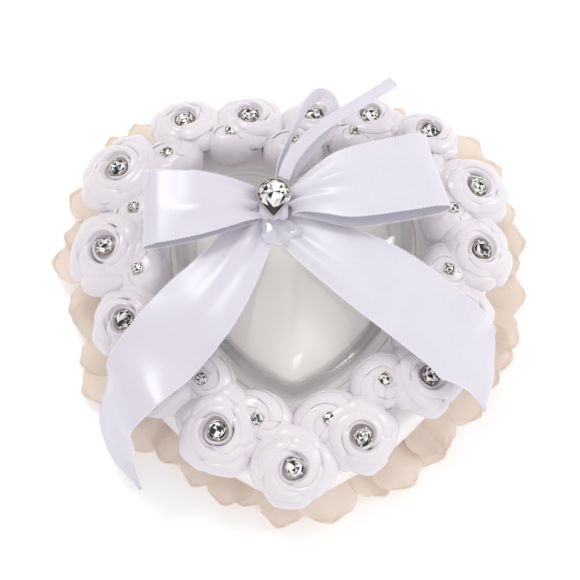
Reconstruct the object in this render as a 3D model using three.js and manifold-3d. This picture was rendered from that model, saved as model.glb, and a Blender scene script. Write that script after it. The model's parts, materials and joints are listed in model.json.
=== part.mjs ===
// Ring bearer pillow: a heart-shaped satin pillow with two rings of ribbon roses round a clear heart box,
// whose press-on lid carries a satin bow, a pear crystal and a narrow ribbon for tying the rings.
// Millimetres, +Z up. The heart's tip points to -Y, and the origin is on the surface that the pillow rests
// on, under the middle of its backing board.
import * as THREE from 'three';
import { mergeVertices } from 'three/addons/utils/BufferGeometryUtils.js';
import Module from 'manifold-3d';

const wasm = await Module();
wasm.setup();

// ---------- Driving dimensions ----------

const touchGap = 0.3; // left between pieces that lie against each other

// The box's rim, and the bands that hold the two rings of flowers between it and the pillow's edge.
const boxHeart = { halfWidth: 36.5, topY: 36, tipY: -39.5, cleftDepth: 6.8 };
const sideBand = 28.5;
const backBand = 23.5;
const frontBand = 30.5;
const pillowCleftDepth = 8.8;

const boardThickness = 2;
const boardInset = 5; // the board stops short of the pillow's edge

const fringeThickness = 1;
const fringeReach = 12.5; // how far the petals stand out past the pillow's edge
const fringeNotch = 4.5; // how deep the dip between two petals is
const fringeRoot = 9; // how far the petals are glued in under the pillow
const fringePetals = 30;

const pillowHeight = 13.5; // the stuffed part, above the fringe
const pillowEdgeRound = 6;
const coverThickness = 0.8;
const recessDepth = 9; // how deep the box sits in the pillow

const boxWall = 1.2;
const boxBaseHeight = 15.5; // outside, from its floor to its flange's top
const boxFlange = 1.6; // how far both flanges stand out
const boxFlangeThickness = 1.1;
const boxBottomRound = 3;
const boxFit = 0.5; // room round the box in the pillow's recess
const lidDomeHeight = 12; // above the lid's flange
const lidDomeReach = 17; // how far in from the rim the dome keeps rising
const lidLipHeight = 1.2; // the base's lip that the lid is pressed over
const lidLipClearance = 0.35;
const ringPadThickness = 4.5;
const ringPadClearance = 0.6;

const roseInset = 4; // rose centres, in from the pillow's edge
const roseTilt = THREE.MathUtils.degToRad(20); // leans outward
const roseHeight = 11;
const roseFoot = 4.2; // radius of the glued foot
const roseFullRadius = 12.4;
// The roses are glued by hand: the room that each one takes along the ring, from the tip.
const roseSpacing = [23, 30, 23, 25, 23, 25, 20, 20, 23, 22, 28, 29, 27, 23, 26, 26];
const roseWell = 0.68; // the stone's seat, as a share of the rose's height
const roseStoneRadius = 3;
const roseStoneHeight = 2.8;

const budCount = 15;
const budTilt = THREE.MathUtils.degToRad(16);
const budRadius = 6.4;
const budHeight = 12;

const ribbonWidth = 25;
const ribbonSolid = 1; // the plain solid's thickness, fuller than the cloth itself
const knotCentre = new THREE.Vector2(-6, 15.5);
const knotLength = 10; // along the bow
const knotWidth = 12;
const knotHeight = 5.5;
const knotWall = 1.2;
const loopHeight = 8;
const loopLift = 2.4; // the loops' underside above the tails' underside
const leftTailHeading = -126; // degrees from +X, seen from above
const rightTailHeading = -37;
const tailDrape = 2.7; // how far above the roses' crowns the tails lie
const tailFloorGap = 2; // the hanging tip's height

const crystalWidth = 10;
const crystalLength = 13;
const crystalHeight = 4.5;

const tieThickness = 2; // the plain tube's, round a ribbon 4 wide and much thinner
const tieSides = 8;
const tieStep = 5; // about one step of the tube for each of these millimetres

const ringPoints = 72; // points round each heart outline

const pillowHeart = {
  halfWidth: boxHeart.halfWidth + sideBand,
  topY: boxHeart.topY + backBand,
  tipY: boxHeart.tipY - frontBand,
  cleftDepth: pillowCleftDepth,
};

// ---------- Heights ----------

const fringeBottom = boardThickness + touchGap;
const pillowBottom = fringeBottom + fringeThickness + touchGap;
const pillowTop = pillowBottom + pillowHeight;
const recessFloor = pillowTop - recessDepth;
const boxBottom = recessFloor + touchGap;
const boxRim = boxBottom + boxBaseHeight;
const lidBottom = boxRim + touchGap;
const lidTop = lidBottom + boxFlangeThickness + lidDomeHeight;
const tailBottom = lidTop + touchGap;
const knotBottom = tailBottom + ribbonSolid + touchGap;
const waistHeight = knotHeight - 2 * knotWall - 2 * touchGap;
const waistZ = knotBottom + knotHeight / 2;
const crystalBottom = knotBottom + knotHeight + touchGap;
const roseZ = pillowTop + touchGap + roseFoot * Math.sin(roseTilt);
const roseCrown = roseZ + roseHeight * Math.cos(roseTilt) + roseFullRadius * Math.sin(roseTilt);
const budZ = pillowTop + touchGap + budRadius * Math.sin(budTilt);

// ---------- Materials ----------

function material(colour, roughness, metalness = 0, opacity = 1) {
  return new THREE.MeshStandardMaterial({
    color: colour,
    roughness,
    metalness,
    opacity,
    transparent: opacity < 1,
  });
}

const satin = () => material('#f4f3f8', 0.38);
const organza = () => material('#e8ddd3', 0.7);
const foam = () => material('#f2ead8', 0.95);
const card = () => material('#efeae2', 0.9);
const clearPlastic = () => material('#f2f6f8', 0.06, 0, 0.35);
const crystalGlass = () => material('#dfe6ea', 0.03, 0.1);

// ---------- Outlines and skins ----------

// A heart is four arcs: a side bows out from the tip to each lobe, and the lobes meet at the cleft.
// grow moves the outline out by that much all round, or in when it is negative.
// The path is the right half, from the tip to the top. A bridged heart runs straight from lobe to lobe.
function heartHalf(heart, grow, bridged) {
  const { halfWidth, topY, tipY, cleftDepth } = heart;
  const lobeRadius = halfWidth + cleftDepth - Math.sqrt(2 * halfWidth * cleftDepth);
  const lobeX = halfWidth - lobeRadius;
  const lobeY = topY - lobeRadius;
  const sideRadius = (halfWidth ** 2 + (lobeY - tipY) ** 2) / (2 * halfWidth);
  const sideX = halfWidth - sideRadius;
  const lobe = lobeRadius + grow;
  const side = sideRadius + grow;
  const cleftAngle = Math.PI - Math.acos(lobeX / Math.max(lobe, lobeRadius));
  const path = new THREE.Path();
  path.absarc(sideX, lobeY, side, -Math.acos(-sideX / side), 0, false);
  if (bridged) {
    path.absarc(lobeX, lobeY, lobe, 0, Math.PI / 2, false);
    path.lineTo(0, lobeY + lobe);
    return path;
  }
  path.absarc(lobeX, lobeY, lobe, 0, cleftAngle, false);
  if (grow < 0) path.absarc(0, topY - cleftDepth, -grow, cleftAngle - Math.PI, -Math.PI / 2, true);
  return path;
}

// The whole outline as evenly spaced points, anticlockwise from the tip.
function heartOutline(heart, grow = 0, count = ringPoints, bridged = false) {
  const right = heartHalf(heart, grow, bridged).getSpacedPoints(count / 2);
  right[0].x = 0;
  right[right.length - 1].x = 0;
  const left = right.slice(1, -1).reverse();
  return [...right, ...left.map((point) => new THREE.Vector2(-point.x, point.y))];
}

function heartRing(heart, grow, z) {
  return heartOutline(heart, grow).map((point) => new THREE.Vector3(point.x, point.y, z));
}

// Triangles that fill a flat ring, facing the way that its points turn about.
function fillRing(ring) {
  const normal = new THREE.Vector3();
  ring.forEach((point, i) => {
    const next = ring[(i + 1) % ring.length];
    normal.add(new THREE.Vector3().crossVectors(point, next));
  });
  normal.normalize();
  const across = new THREE.Vector3().subVectors(ring[1], ring[0]).normalize();
  const up = new THREE.Vector3().crossVectors(normal, across);
  const flat = ring.map((point) => new THREE.Vector2(point.dot(across), point.dot(up)));
  return THREE.ShapeUtils.triangulateShape(flat, []);
}

// Joins rings of equally many points into one skin. The rings turn anticlockwise about the way that they
// run. An open stack is capped at both ends, and a closed one joins its last ring to its first.
function loft(rings, closed = false) {
  const count = rings[0].length;
  const index = [];
  const spans = closed ? rings.length : rings.length - 1;
  for (let r = 0; r < spans; r += 1) {
    const here = r * count;
    const next = ((r + 1) % rings.length) * count;
    for (let i = 0; i < count; i += 1) {
      const j = (i + 1) % count;
      index.push(here + i, here + j, next + j);
      index.push(here + i, next + j, next + i);
    }
  }
  if (!closed) {
    const last = (rings.length - 1) * count;
    fillRing(rings[0]).forEach(([a, b, c]) => index.push(a, c, b));
    fillRing(rings[rings.length - 1]).forEach(([a, b, c]) => index.push(last + a, last + b, last + c));
  }
  const geometry = new THREE.BufferGeometry();
  const positions = rings.flat().flatMap((point) => point.toArray());
  geometry.setAttribute('position', new THREE.Float32BufferAttribute(positions, 3));
  geometry.setIndex(index);
  geometry.computeVertexNormals();
  return geometry;
}

// A profile of [radius, height] pairs turned about the Z axis.
function turned(profile, segments) {
  const points = profile.map(([radius, height]) => new THREE.Vector2(radius, height));
  return new THREE.LatheGeometry(points, segments).rotateX(Math.PI / 2);
}

// ---------- Boolean cuts ----------

function toSolid(geometry) {
  const bare = geometry.clone();
  bare.deleteAttribute('normal');
  bare.deleteAttribute('uv');
  const merged = mergeVertices(bare, 1e-4);
  const triangles = [];
  for (let i = 0; i < merged.index.count; i += 3) {
    const [a, b, c] = [0, 1, 2].map((corner) => merged.index.getX(i + corner));
    if (a !== b && b !== c && c !== a) triangles.push(a, b, c);
  }
  const mesh = new wasm.Mesh({
    numProp: 3,
    vertProperties: new Float32Array(merged.attributes.position.array),
    triVerts: new Uint32Array(triangles),
  });
  return new wasm.Manifold(mesh);
}

function toGeometry(solid) {
  const mesh = solid.getMesh();
  const geometry = new THREE.BufferGeometry();
  geometry.setAttribute('position', new THREE.BufferAttribute(mesh.vertProperties, 3));
  geometry.setIndex(new THREE.BufferAttribute(mesh.triVerts, 1));
  geometry.computeVertexNormals();
  return geometry;
}

// ---------- The pillow ----------

const model = new THREE.Group();

function add(name, geometry, finish, parent = model) {
  const mesh = new THREE.Mesh(geometry, finish);
  mesh.name = name;
  parent.add(mesh);
  return mesh;
}

function backingBoard() {
  return loft([
    heartRing(pillowHeart, -boardInset, 0),
    heartRing(pillowHeart, -boardInset, boardThickness),
  ]);
}

// The stuffed body's outer rings, from its foot to its recess's edge, with a skin taken off all round.
function pillowRings(skin) {
  const steps = 4;
  const rings = [];
  for (let i = 0; i <= steps; i += 1) {
    const turn = ((i / steps) * Math.PI) / 2;
    const inset = pillowEdgeRound * (1 - Math.cos(turn)) + skin;
    const z = pillowTop - skin - pillowEdgeRound * (1 - Math.sin(turn));
    rings.push(heartRing(pillowHeart, -inset, z));
  }
  return rings;
}

const recessGrow = boxFlange + boxFit;

function satinCover() {
  const inside = pillowRings(coverThickness);
  const outside = pillowRings(0);
  return loft([
    heartRing(boxHeart, recessGrow + coverThickness, recessFloor - coverThickness),
    heartRing(boxHeart, recessGrow + coverThickness, pillowTop - coverThickness),
    ...inside.reverse(),
    heartRing(pillowHeart, -coverThickness, pillowBottom),
    heartRing(pillowHeart, 0, pillowBottom),
    ...outside,
    heartRing(boxHeart, recessGrow, pillowTop),
    heartRing(boxHeart, recessGrow, recessFloor),
  ]);
}

function foamCore() {
  const skin = coverThickness + touchGap;
  return loft([
    heartRing(pillowHeart, -skin, pillowBottom),
    ...pillowRings(skin),
    heartRing(boxHeart, recessGrow + skin, pillowTop - skin),
    heartRing(boxHeart, recessGrow + skin, recessFloor - skin),
  ]);
}

// One ring of petals: the outer edge swells to a round tip on each petal and dips between two.
function petalFringe() {
  const pointsPerPetal = 6;
  const count = fringePetals * pointsPerPetal;
  const inner = heartOutline(pillowHeart, -fringeRoot, count);
  const tips = heartOutline(pillowHeart, fringeReach, count);
  const outer = tips.map((tip, i) => {
    const swell = Math.abs(Math.sin((Math.PI * i) / pointsPerPetal));
    const share = (fringeNotch * (1 - swell)) / (fringeReach + fringeRoot);
    return tip.clone().lerp(inner[i], share);
  });
  const at = (points, z) => points.map((point) => new THREE.Vector3(point.x, point.y, z));
  const fringeTop = fringeBottom + fringeThickness;
  return loft([
    at(inner, fringeBottom),
    at(outer, fringeBottom),
    at(outer, fringeTop),
    at(inner, fringeTop),
  ], true);
}

// ---------- The clear box ----------

function boxBase() {
  const floorTop = boxBottom + boxWall;
  const flangeBottom = boxRim - boxFlangeThickness;
  const lipOuter = -lidLipClearance - boxWall;
  return loft([
    heartRing(boxHeart, -boxBottomRound, boxBottom),
    heartRing(boxHeart, -boxBottomRound / 3, boxBottom + boxBottomRound / 3),
    heartRing(boxHeart, 0, boxBottom + boxBottomRound),
    heartRing(boxHeart, 0, flangeBottom),
    heartRing(boxHeart, boxFlange, flangeBottom),
    heartRing(boxHeart, boxFlange, boxRim),
    heartRing(boxHeart, lipOuter, boxRim),
    heartRing(boxHeart, lipOuter, boxRim + lidLipHeight),
    heartRing(boxHeart, lipOuter - boxWall, boxRim + lidLipHeight),
    heartRing(boxHeart, lipOuter - boxWall, floorTop + boxBottomRound),
    heartRing(boxHeart, lipOuter - boxWall - boxBottomRound / 2, floorTop),
  ]);
}

const boxInside = -lidLipClearance - 2 * boxWall;

function ringPad() {
  const bottom = boxBottom + boxWall + touchGap;
  const side = boxInside - ringPadClearance;
  return loft([
    heartRing(boxHeart, side - boxBottomRound / 2, bottom),
    heartRing(boxHeart, side, bottom + boxBottomRound),
    heartRing(boxHeart, side, bottom + ringPadThickness),
    heartRing(boxHeart, side - 2, bottom + ringPadThickness + 1),
  ]);
}

// The dome's rings from its rim up to its flat crown, a quarter wave of height against distance in.
function domeRings(wall) {
  const steps = 6;
  const rings = [];
  for (let i = 0; i <= steps; i += 1) {
    const turn = ((i / steps) * Math.PI) / 2;
    const inset = wall + (lidDomeReach - wall) * (1 - Math.cos(turn));
    const z = lidBottom + boxFlangeThickness + (lidDomeHeight - wall) * Math.sin(turn);
    rings.push(heartRing(boxHeart, -inset, z));
  }
  return rings;
}

function boxLid() {
  const flangeTop = lidBottom + boxFlangeThickness;
  return loft([
    ...domeRings(boxWall).reverse(),
    heartRing(boxHeart, -boxWall, lidBottom),
    heartRing(boxHeart, boxFlange, lidBottom),
    heartRing(boxHeart, boxFlange, flangeTop),
    ...domeRings(0),
  ]);
}

// ---------- Ribbon roses and buds ----------

// Places on a heart outline at given distances along it from the tip, with the way out at each.
function placesAlong(outline, distances) {
  const curve = new THREE.CatmullRomCurve3(
    outline.map((point) => new THREE.Vector3(point.x, point.y, 0)),
    true,
    'centripetal',
  );
  curve.arcLengthDivisions = outline.length * 4;
  const length = curve.getLength();
  return distances.map((distance) => {
    const share = (distance / length + 1) % 1;
    const tangent = curve.getTangentAt(share);
    return { at: curve.getPointAt(share), heading: Math.atan2(-tangent.x, tangent.y) };
  });
}

function lean(mesh, place, tilt, z) {
  mesh.position.set(place.at.x, place.at.y, z);
  mesh.rotation.order = 'ZYX';
  mesh.rotation.set(0, tilt, place.heading);
  mesh.updateMatrixWorld(true);
}

function roseProfile(radius, spread = 0) {
  return [
    [0, -spread],
    [roseFoot + spread, 1.4 - spread],
    [radius * 0.72 + spread, roseHeight * 0.42],
    [radius + spread, roseHeight * 0.78],
    [radius * 0.86 + spread, roseHeight + spread],
    [radius * 0.5, roseHeight * 0.95 + spread],
    [roseStoneRadius + touchGap, roseHeight * roseWell],
    [0, roseHeight * roseWell],
  ];
}

function stoneProfile() {
  return [
    [0, 0],
    [roseStoneRadius * 0.6, 0],
    [roseStoneRadius, roseStoneHeight * 0.4],
    [roseStoneRadius, roseStoneHeight * 0.65],
    [roseStoneRadius * 0.6, roseStoneHeight],
    [0, roseStoneHeight],
  ];
}

function budProfile() {
  return [
    [0, 0],
    [budRadius * 0.8, 0.9],
    [budRadius, budHeight * 0.35],
    [budRadius * 0.78, budHeight * 0.7],
    [budRadius * 0.35, budHeight * 0.97],
    [0, budHeight],
  ];
}

const roseFaces = 12;
const budFaces = 10;

// Rose feet stand back from the stones' ring, because the roses lean out over the pillow's edge.
const roseFootInset = roseInset + roseHeight * Math.sin(roseTilt);
const roseRing = heartOutline(pillowHeart, -roseFootInset, ringPoints * 2, true);
const spacingSum = roseSpacing.reduce((sum, gap) => sum + gap, 0);
const roseRingLength = 2 * heartHalf(pillowHeart, -roseFootInset, true).getLength();
const roseRoom = roseSpacing.map((gap) => (gap * roseRingLength) / spacingSum);
const roseDistances = roseRoom.map((gap, i) => roseRoom.slice(0, i).reduce((sum, g) => sum + g, 0));

// Each rose is as wide as the nearer of its two neighbours lets it be.
const roses = placesAlong(roseRing, roseDistances).map((place, i) => {
  const before = roseRoom[(i + roseRoom.length - 1) % roseRoom.length];
  const room = Math.min(before, roseRoom[i]) - touchGap;
  const radius = Math.min(roseFullRadius, room / 2);
  const label = String(i + 1).padStart(2, '0');
  const rose = add(`rose_${label}`, turned(roseProfile(radius), roseFaces), satin());
  lean(rose, place, roseTilt, roseZ);
  const stone = add(`rose_stone_${label}`, turned(stoneProfile(), 8), crystalGlass());
  lean(stone, place, roseTilt, roseZ);
  stone.translateZ(roseHeight * roseWell + touchGap);
  return { rose, radius };
});

// A bud is pressed in between the roses, so it is cut back wherever a rose stands against it, and nothing
// of it is left on the rose's far side.
function pressedBud(bud) {
  let solid = toSolid(turned(budProfile(), budFaces).applyMatrix4(bud.matrixWorld));
  roses.forEach(({ rose, radius }) => {
    const distance = rose.position.distanceTo(bud.position);
    if (distance > radius + budRadius + budHeight) return;
    const grown = turned(roseProfile(radius, touchGap), roseFaces).applyMatrix4(rose.matrixWorld);
    const outward = new THREE.Vector3(Math.cos(rose.rotation.z), Math.sin(rose.rotation.z), 0);
    outward.multiplyScalar(roseFoot * 1.5);
    for (let step = 0; step < 3; step += 1) {
      solid = solid.subtract(toSolid(grown));
      grown.translate(outward.x, outward.y, 0);
    }
  });
  return toGeometry(solid).applyMatrix4(bud.matrixWorld.clone().invert());
}

// The buds stand midway between the box's recess and the roses' feet.
const recessRing = heartOutline(boxHeart, recessGrow, ringPoints * 2);
const budRing = recessRing.map((point, i) => point.clone().lerp(roseRing[i], 0.5));
const budRingLength = budRing.reduce((sum, point, i) => {
  const next = budRing[(i + 1) % budRing.length];
  return sum + point.distanceTo(next);
}, 0);
const budDistances = Array.from({ length: budCount }, (_, i) => ((i + 0.5) * budRingLength) / budCount);
placesAlong(budRing, budDistances).forEach((place, i) => {
  const bud = add(`rosebud_${String(i + 1).padStart(2, '0')}`, undefined, satin());
  lean(bud, place, budTilt, budZ);
  bud.geometry = pressedBud(bud);
});

// ---------- The bow ----------

// A flat section across the way that a ribbon runs.
function strapSection(at, along, across, halfWidth, halfHeight) {
  const up = new THREE.Vector3().crossVectors(along, across).normalize();
  const corners = [[-1, -1], [1, -1], [1, 1], [-1, 1]];
  return corners.map(([side, rise]) => at.clone()
    .addScaledVector(across, side * halfWidth)
    .addScaledVector(up, rise * halfHeight));
}

// Stations are [x, y, z, width, roll], where roll in degrees lifts the ribbon's left edge.
function strap(stations, halfHeight) {
  const points = stations.map(([x, y, z]) => new THREE.Vector3(x, y, z));
  const curve = new THREE.CatmullRomCurve3(points, false, 'centripetal');
  const sections = points.map((at, i) => {
    const along = curve.getTangent(i / (points.length - 1));
    const level = new THREE.Vector3(along.y, -along.x, 0).normalize();
    const roll = THREE.MathUtils.degToRad(stations[i][4] ?? 0);
    const across = level.applyAxisAngle(along, roll);
    return strapSection(at, along, across, stations[i][3] / 2, halfHeight[i] ?? halfHeight[0]);
  });
  return loft(sections);
}

// One folded length of ribbon makes both loops. Each loop is a full, flattened pocket, and the waist
// between them goes through the knot.
function bowLoops() {
  const [x, y] = [knotCentre.x, knotCentre.y];
  const waist = knotWidth - 2 * (knotWall + 2 * touchGap);
  const face = knotLength / 2 + touchGap;
  const low = tailBottom + loopLift + loopHeight / 2;
  const stations = [
    [x - 40, y - 4, low - 0.5, ribbonWidth, 0],
    [x - 34, y - 3.5, low, ribbonWidth, 0],
    [x - 18, y - 2, low + 0.5, ribbonWidth * 0.95, 0],
    [x - 10, y - 1, low, ribbonWidth * 0.7, 0],
    [x - face - 1.5, y, waistZ, waist, 0],
    [x - face, y, waistZ, waist, 0],
    [x + face, y, waistZ, waist, 0],
    [x + face + 1.5, y, waistZ, waist, 0],
    [x + 10, y + 2, low, ribbonWidth * 0.7, 0],
    [x + 18, y + 4, low + 0.5, ribbonWidth * 0.95, 0],
    [x + 38, y + 8, low, ribbonWidth, 0],
    [x + 48, y + 10, low - 0.5, ribbonWidth, 0],
  ];
  const thin = waistHeight / 2;
  const full = loopHeight / 2;
  const left = [thin, full, full, full * 0.8, thin, thin];
  return strap(stations, [...left, ...left.toReversed()]);
}

// A point that lies a given way past the pillow's edge, on a line from the knot.
function pastEdge(heading, out) {
  const angle = THREE.MathUtils.degToRad(heading);
  const way = new THREE.Vector2(Math.cos(angle), Math.sin(angle));
  const edge = heartOutline(pillowHeart);
  let reach = 0;
  edge.forEach((start, i) => {
    const side = edge[(i + 1) % edge.length].clone().sub(start);
    const offset = start.clone().sub(knotCentre);
    const turn = way.cross(side);
    const share = offset.cross(way) / turn;
    const distance = offset.cross(side) / turn;
    if (share >= 0 && share < 1 && distance > reach) reach = distance;
  });
  const point = knotCentre.clone().addScaledVector(way, reach + out);
  return [point.x, point.y];
}

// One length of ribbon, folded to a V under the knot, makes both tails. They lie on the roses and hang
// down outside the pillow, turning on edge as they fall.
function bowTails() {
  const [x, y] = [knotCentre.x, knotCentre.y];
  const [left, right] = [leftTailHeading, rightTailHeading];
  const under = tailBottom + ribbonSolid / 2;
  const draped = roseCrown + tailDrape;
  const tip = tailFloorGap + ribbonSolid / 2;
  return strap([
    [...pastEdge(left + 9, 21), tip, ribbonWidth * 0.5, -45],
    [...pastEdge(left + 3, 22.5), draped * 0.25, ribbonWidth * 0.8, -50],
    [...pastEdge(left - 1, 19.5), draped * 0.55, ribbonWidth, -45],
    [...pastEdge(left - 1, 10.5), draped - 4, ribbonWidth, -20],
    [...pastEdge(left, -8.5), draped, ribbonWidth, 0],
    [...pastEdge(left + 2.5, -32), under + 1, ribbonWidth, 0],
    [x - 7.5, y - knotWidth / 2 - 3.5, under + 0.3, ribbonWidth * 0.6, 0],
    [x, y - 2, under, ribbonWidth * 0.34, 0],
    [x + 8.5, y - knotWidth / 2 - 2, under + 0.3, ribbonWidth * 0.6, 0],
    [...pastEdge(right, -35), under + 1, ribbonWidth, 0],
    [...pastEdge(right, -14), draped + 1, ribbonWidth, 0],
    [...pastEdge(right, 3), draped - 1, ribbonWidth, 5],
    [...pastEdge(right - 2, 14), draped - 7.5, ribbonWidth * 0.8, 30],
    [...pastEdge(right - 5.5, 20), draped - 15, ribbonWidth * 0.4, 40],
  ], [ribbonSolid / 2]);
}

// A short length wrapped once round the waist: a flat tube along the bow.
function bowKnot() {
  const ring = (x, halfWidth, halfHeight, chamfer) => {
    const [y, z] = [halfWidth, halfHeight];
    const corners = [
      [y, chamfer - z], [y, z - chamfer], [y - chamfer, z], [chamfer - y, z],
      [-y, z - chamfer], [-y, chamfer - z], [chamfer - y, -z], [y - chamfer, -z],
    ];
    return corners.map(([side, rise]) => new THREE.Vector3(x, knotCentre.y + side, waistZ + rise));
  };
  const [left, right] = [knotCentre.x - knotLength / 2, knotCentre.x + knotLength / 2];
  const holeWidth = knotWidth / 2 - knotWall;
  const holeHeight = knotHeight / 2 - knotWall;
  return loft([
    ring(left, holeWidth, holeHeight, holeHeight / 4),
    ring(left, knotWidth / 2, knotHeight / 2, knotHeight / 4),
    ring(right, knotWidth / 2, knotHeight / 2, knotHeight / 4),
    ring(right, holeWidth, holeHeight, holeHeight / 4),
  ], true);
}

// A pear outline: a round head and a point towards -Y, scaled about the middle.
function pearRing(scale, z) {
  const headRadius = crystalWidth / 2;
  const headY = crystalLength / 2 - headRadius;
  const pointY = -crystalLength / 2;
  const reach = headY - pointY;
  const start = Math.asin(headRadius / reach);
  const outline = [new THREE.Vector2(0, pointY)];
  const steps = 11;
  for (let i = 0; i <= steps; i += 1) {
    const angle = -start + (i / steps) * (Math.PI + 2 * start);
    outline.push(new THREE.Vector2(headRadius * Math.cos(angle), headY + headRadius * Math.sin(angle)));
  }
  return outline.map((p) => new THREE.Vector3(knotCentre.x + p.x * scale, knotCentre.y + p.y * scale, z));
}

function pearCrystal() {
  return loft([
    pearRing(0.7, crystalBottom),
    pearRing(1, crystalBottom + crystalHeight * 0.4),
    pearRing(1, crystalBottom + crystalHeight * 0.6),
    pearRing(0.62, crystalBottom + crystalHeight),
  ]);
}

// ---------- The narrow ribbon that ties the rings ----------

// Route points are chosen by hand. Both stretches leave the back of the bow.
const tieLoopRoute = [
  [-5, 22.8, 40.4],
  [-4.2, 29, 41.6],
  [-1.2, 37, 43.4],
  [2, 44, 45],
  [5, 49.4, 46],
  [8.6, 52.2, 46.2],
  [12, 50, 45.8],
  [12.4, 45, 44.7],
  [9, 39, 43.2],
  [4, 33, 41.8],
  [0, 28, 40.8],
  [-2.4, 24, 40.2],
];
const tieTailRoute = [
  [-3, 23.8, 43.4],
  [-0.6, 29.5, 45.2],
  [5, 36.4, 46.8],
  [12, 42.2, 47.4],
  [19, 47.2, 47],
  [25.5, 52.2, 46.1],
  [32, 57.5, 45.3],
];

function tieTube(route) {
  const curve = new THREE.CatmullRomCurve3(route.map(([x, y, z]) => new THREE.Vector3(x, y, z)));
  const section = new THREE.Shape();
  for (let i = 0; i < tieSides; i += 1) {
    const angle = (i / tieSides) * Math.PI * 2;
    const [x, y] = [(Math.cos(angle) * tieThickness) / 2, (Math.sin(angle) * tieThickness) / 2];
    if (i === 0) section.moveTo(x, y);
    else section.lineTo(x, y);
  }
  section.closePath();
  const steps = Math.max(4, Math.round(curve.getLength() / tieStep));
  return new THREE.ExtrudeGeometry(section, { steps, extrudePath: curve, bevelEnabled: false });
}

// ---------- Assembly ----------

add('backing_board', backingBoard(), card());
add('petal_fringe', petalFringe(), organza());
add('foam_core', foamCore(), foam());
add('satin_cover', satinCover(), satin());
add('box_base', boxBase(), clearPlastic());
add('ring_pad', ringPad(), organza());

const lid = new THREE.Group();
model.add(lid);
add('box_lid', boxLid(), clearPlastic(), lid);
add('bow_loops', bowLoops(), satin(), lid);
add('bow_tails', bowTails(), satin(), lid);
add('bow_knot', bowKnot(), satin(), lid);
add('pear_crystal', pearCrystal(), crystalGlass(), lid);
add('ring_tie_loop', tieTube(tieLoopRoute), satin(), lid);
add('ring_tie_tail', tieTube(tieTailRoute), satin(), lid);

export default model;
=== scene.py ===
# %% [markdown]
# # A ring bearer pillow
# A heart-shaped satin pillow carries two rings of folded ribbon flowers round a clear heart box. The
# box's lid lifts off with its satin bow. Each piece below is its own object, in metres, with +Z up and
# the heart's tip towards -Y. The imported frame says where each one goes, so it is opened first.

# %% Open the frame
import json
import math

import bmesh
import bpy
import numpy as np
from mathutils import Matrix, Vector

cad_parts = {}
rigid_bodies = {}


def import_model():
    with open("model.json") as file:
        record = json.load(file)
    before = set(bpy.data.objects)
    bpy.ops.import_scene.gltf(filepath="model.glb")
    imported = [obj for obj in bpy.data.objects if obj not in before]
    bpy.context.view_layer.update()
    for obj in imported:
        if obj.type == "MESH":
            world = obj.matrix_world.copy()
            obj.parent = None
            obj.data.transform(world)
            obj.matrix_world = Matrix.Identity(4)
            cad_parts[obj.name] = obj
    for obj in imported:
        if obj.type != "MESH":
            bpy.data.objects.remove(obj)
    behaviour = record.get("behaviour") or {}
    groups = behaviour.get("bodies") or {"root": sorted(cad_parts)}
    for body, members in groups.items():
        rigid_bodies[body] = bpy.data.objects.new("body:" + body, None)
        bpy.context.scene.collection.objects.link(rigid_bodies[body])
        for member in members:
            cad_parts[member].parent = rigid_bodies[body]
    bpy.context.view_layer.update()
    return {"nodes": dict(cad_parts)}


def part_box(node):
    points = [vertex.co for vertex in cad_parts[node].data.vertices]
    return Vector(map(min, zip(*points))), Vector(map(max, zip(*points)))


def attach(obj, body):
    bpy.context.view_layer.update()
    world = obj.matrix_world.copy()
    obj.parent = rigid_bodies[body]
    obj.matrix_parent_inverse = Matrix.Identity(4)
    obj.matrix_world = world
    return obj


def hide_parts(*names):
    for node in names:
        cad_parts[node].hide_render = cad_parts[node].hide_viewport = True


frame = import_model()

# %% [markdown]
# ## The camera
# The pillow is seen from its tip's side, well above the horizon, through a long lens, so that the far
# roses look nearly as large as the near ones. The camera comes first, because every choice of detail
# after it depends on what it sees. It aims a little in front of the box's middle.

# %% Place the camera
MM = 0.001
elevation = math.radians(67)
camera_distance = 0.48
look_at = Vector((-1.0, -4.6, 21.2)) * MM
forward = Vector((0, math.cos(elevation), -math.sin(elevation)))
camera = bpy.data.objects.new("camera", bpy.data.cameras.new("camera"))
camera.data.sensor_width = 36
camera.data.lens = 93.9
camera.data.clip_start = 0.01
camera.location = look_at - forward * camera_distance
camera.rotation_euler = forward.to_track_quat("-Z", "Y").to_euler()
bpy.context.scene.collection.objects.link(camera)
bpy.context.scene.camera = camera
print("camera at", [round(x, 3) for x in camera.location])

# %% [markdown]
# ## Sizes and heights
# Every size is in millimetres and is turned to metres only when a mesh is made. A heart is given by its
# half width, its top, its tip and how deep its cleft is, and the pillow's heart is the box's heart with
# a band of flowers round it.

# %% Sizes of the hearts, the flowers and the ribbons
box_heart = (36.5, 36.0, -39.5, 6.8)
pillow_heart = (36.5 + 28.5, 36.0 + 23.5, -39.5 - 30.5, 8.8)
fringe_bottom, pillow_bottom, pillow_top = 2.3, 3.6, 17.1
recess_floor, recess_grow = 8.1, 2.1
box_bottom, box_rim, lid_bottom = 8.4, 23.9, 24.2
lid_flange, lid_dome, lid_reach = 1.1, 12.0, 17.0
rose_height, rose_tilt, rose_foot, rose_full = 11.0, math.radians(20), 4.2, 12.4
rose_well = 0.68 * rose_height
rose_spacing = [23, 30, 23, 25, 23, 25, 20, 20, 23, 22, 28, 29, 27, 23, 26, 26]
bud_count, bud_tilt, bud_radius, bud_height = 15, math.radians(16), 6.4, 12.0
rose_z = pillow_top + 0.3 + rose_foot * math.sin(rose_tilt)
bud_z = pillow_top + 0.3 + bud_radius * math.sin(bud_tilt)
rose_crown = rose_z + rose_height * math.cos(rose_tilt) + rose_full * math.sin(rose_tilt)
lid_top = lid_bottom + lid_flange + lid_dome
tail_bottom = lid_top + 0.3
knot = np.array([-6.0, 15.5])
knot_length, knot_width, knot_height = 10.0, 12.0, 5.5
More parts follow.
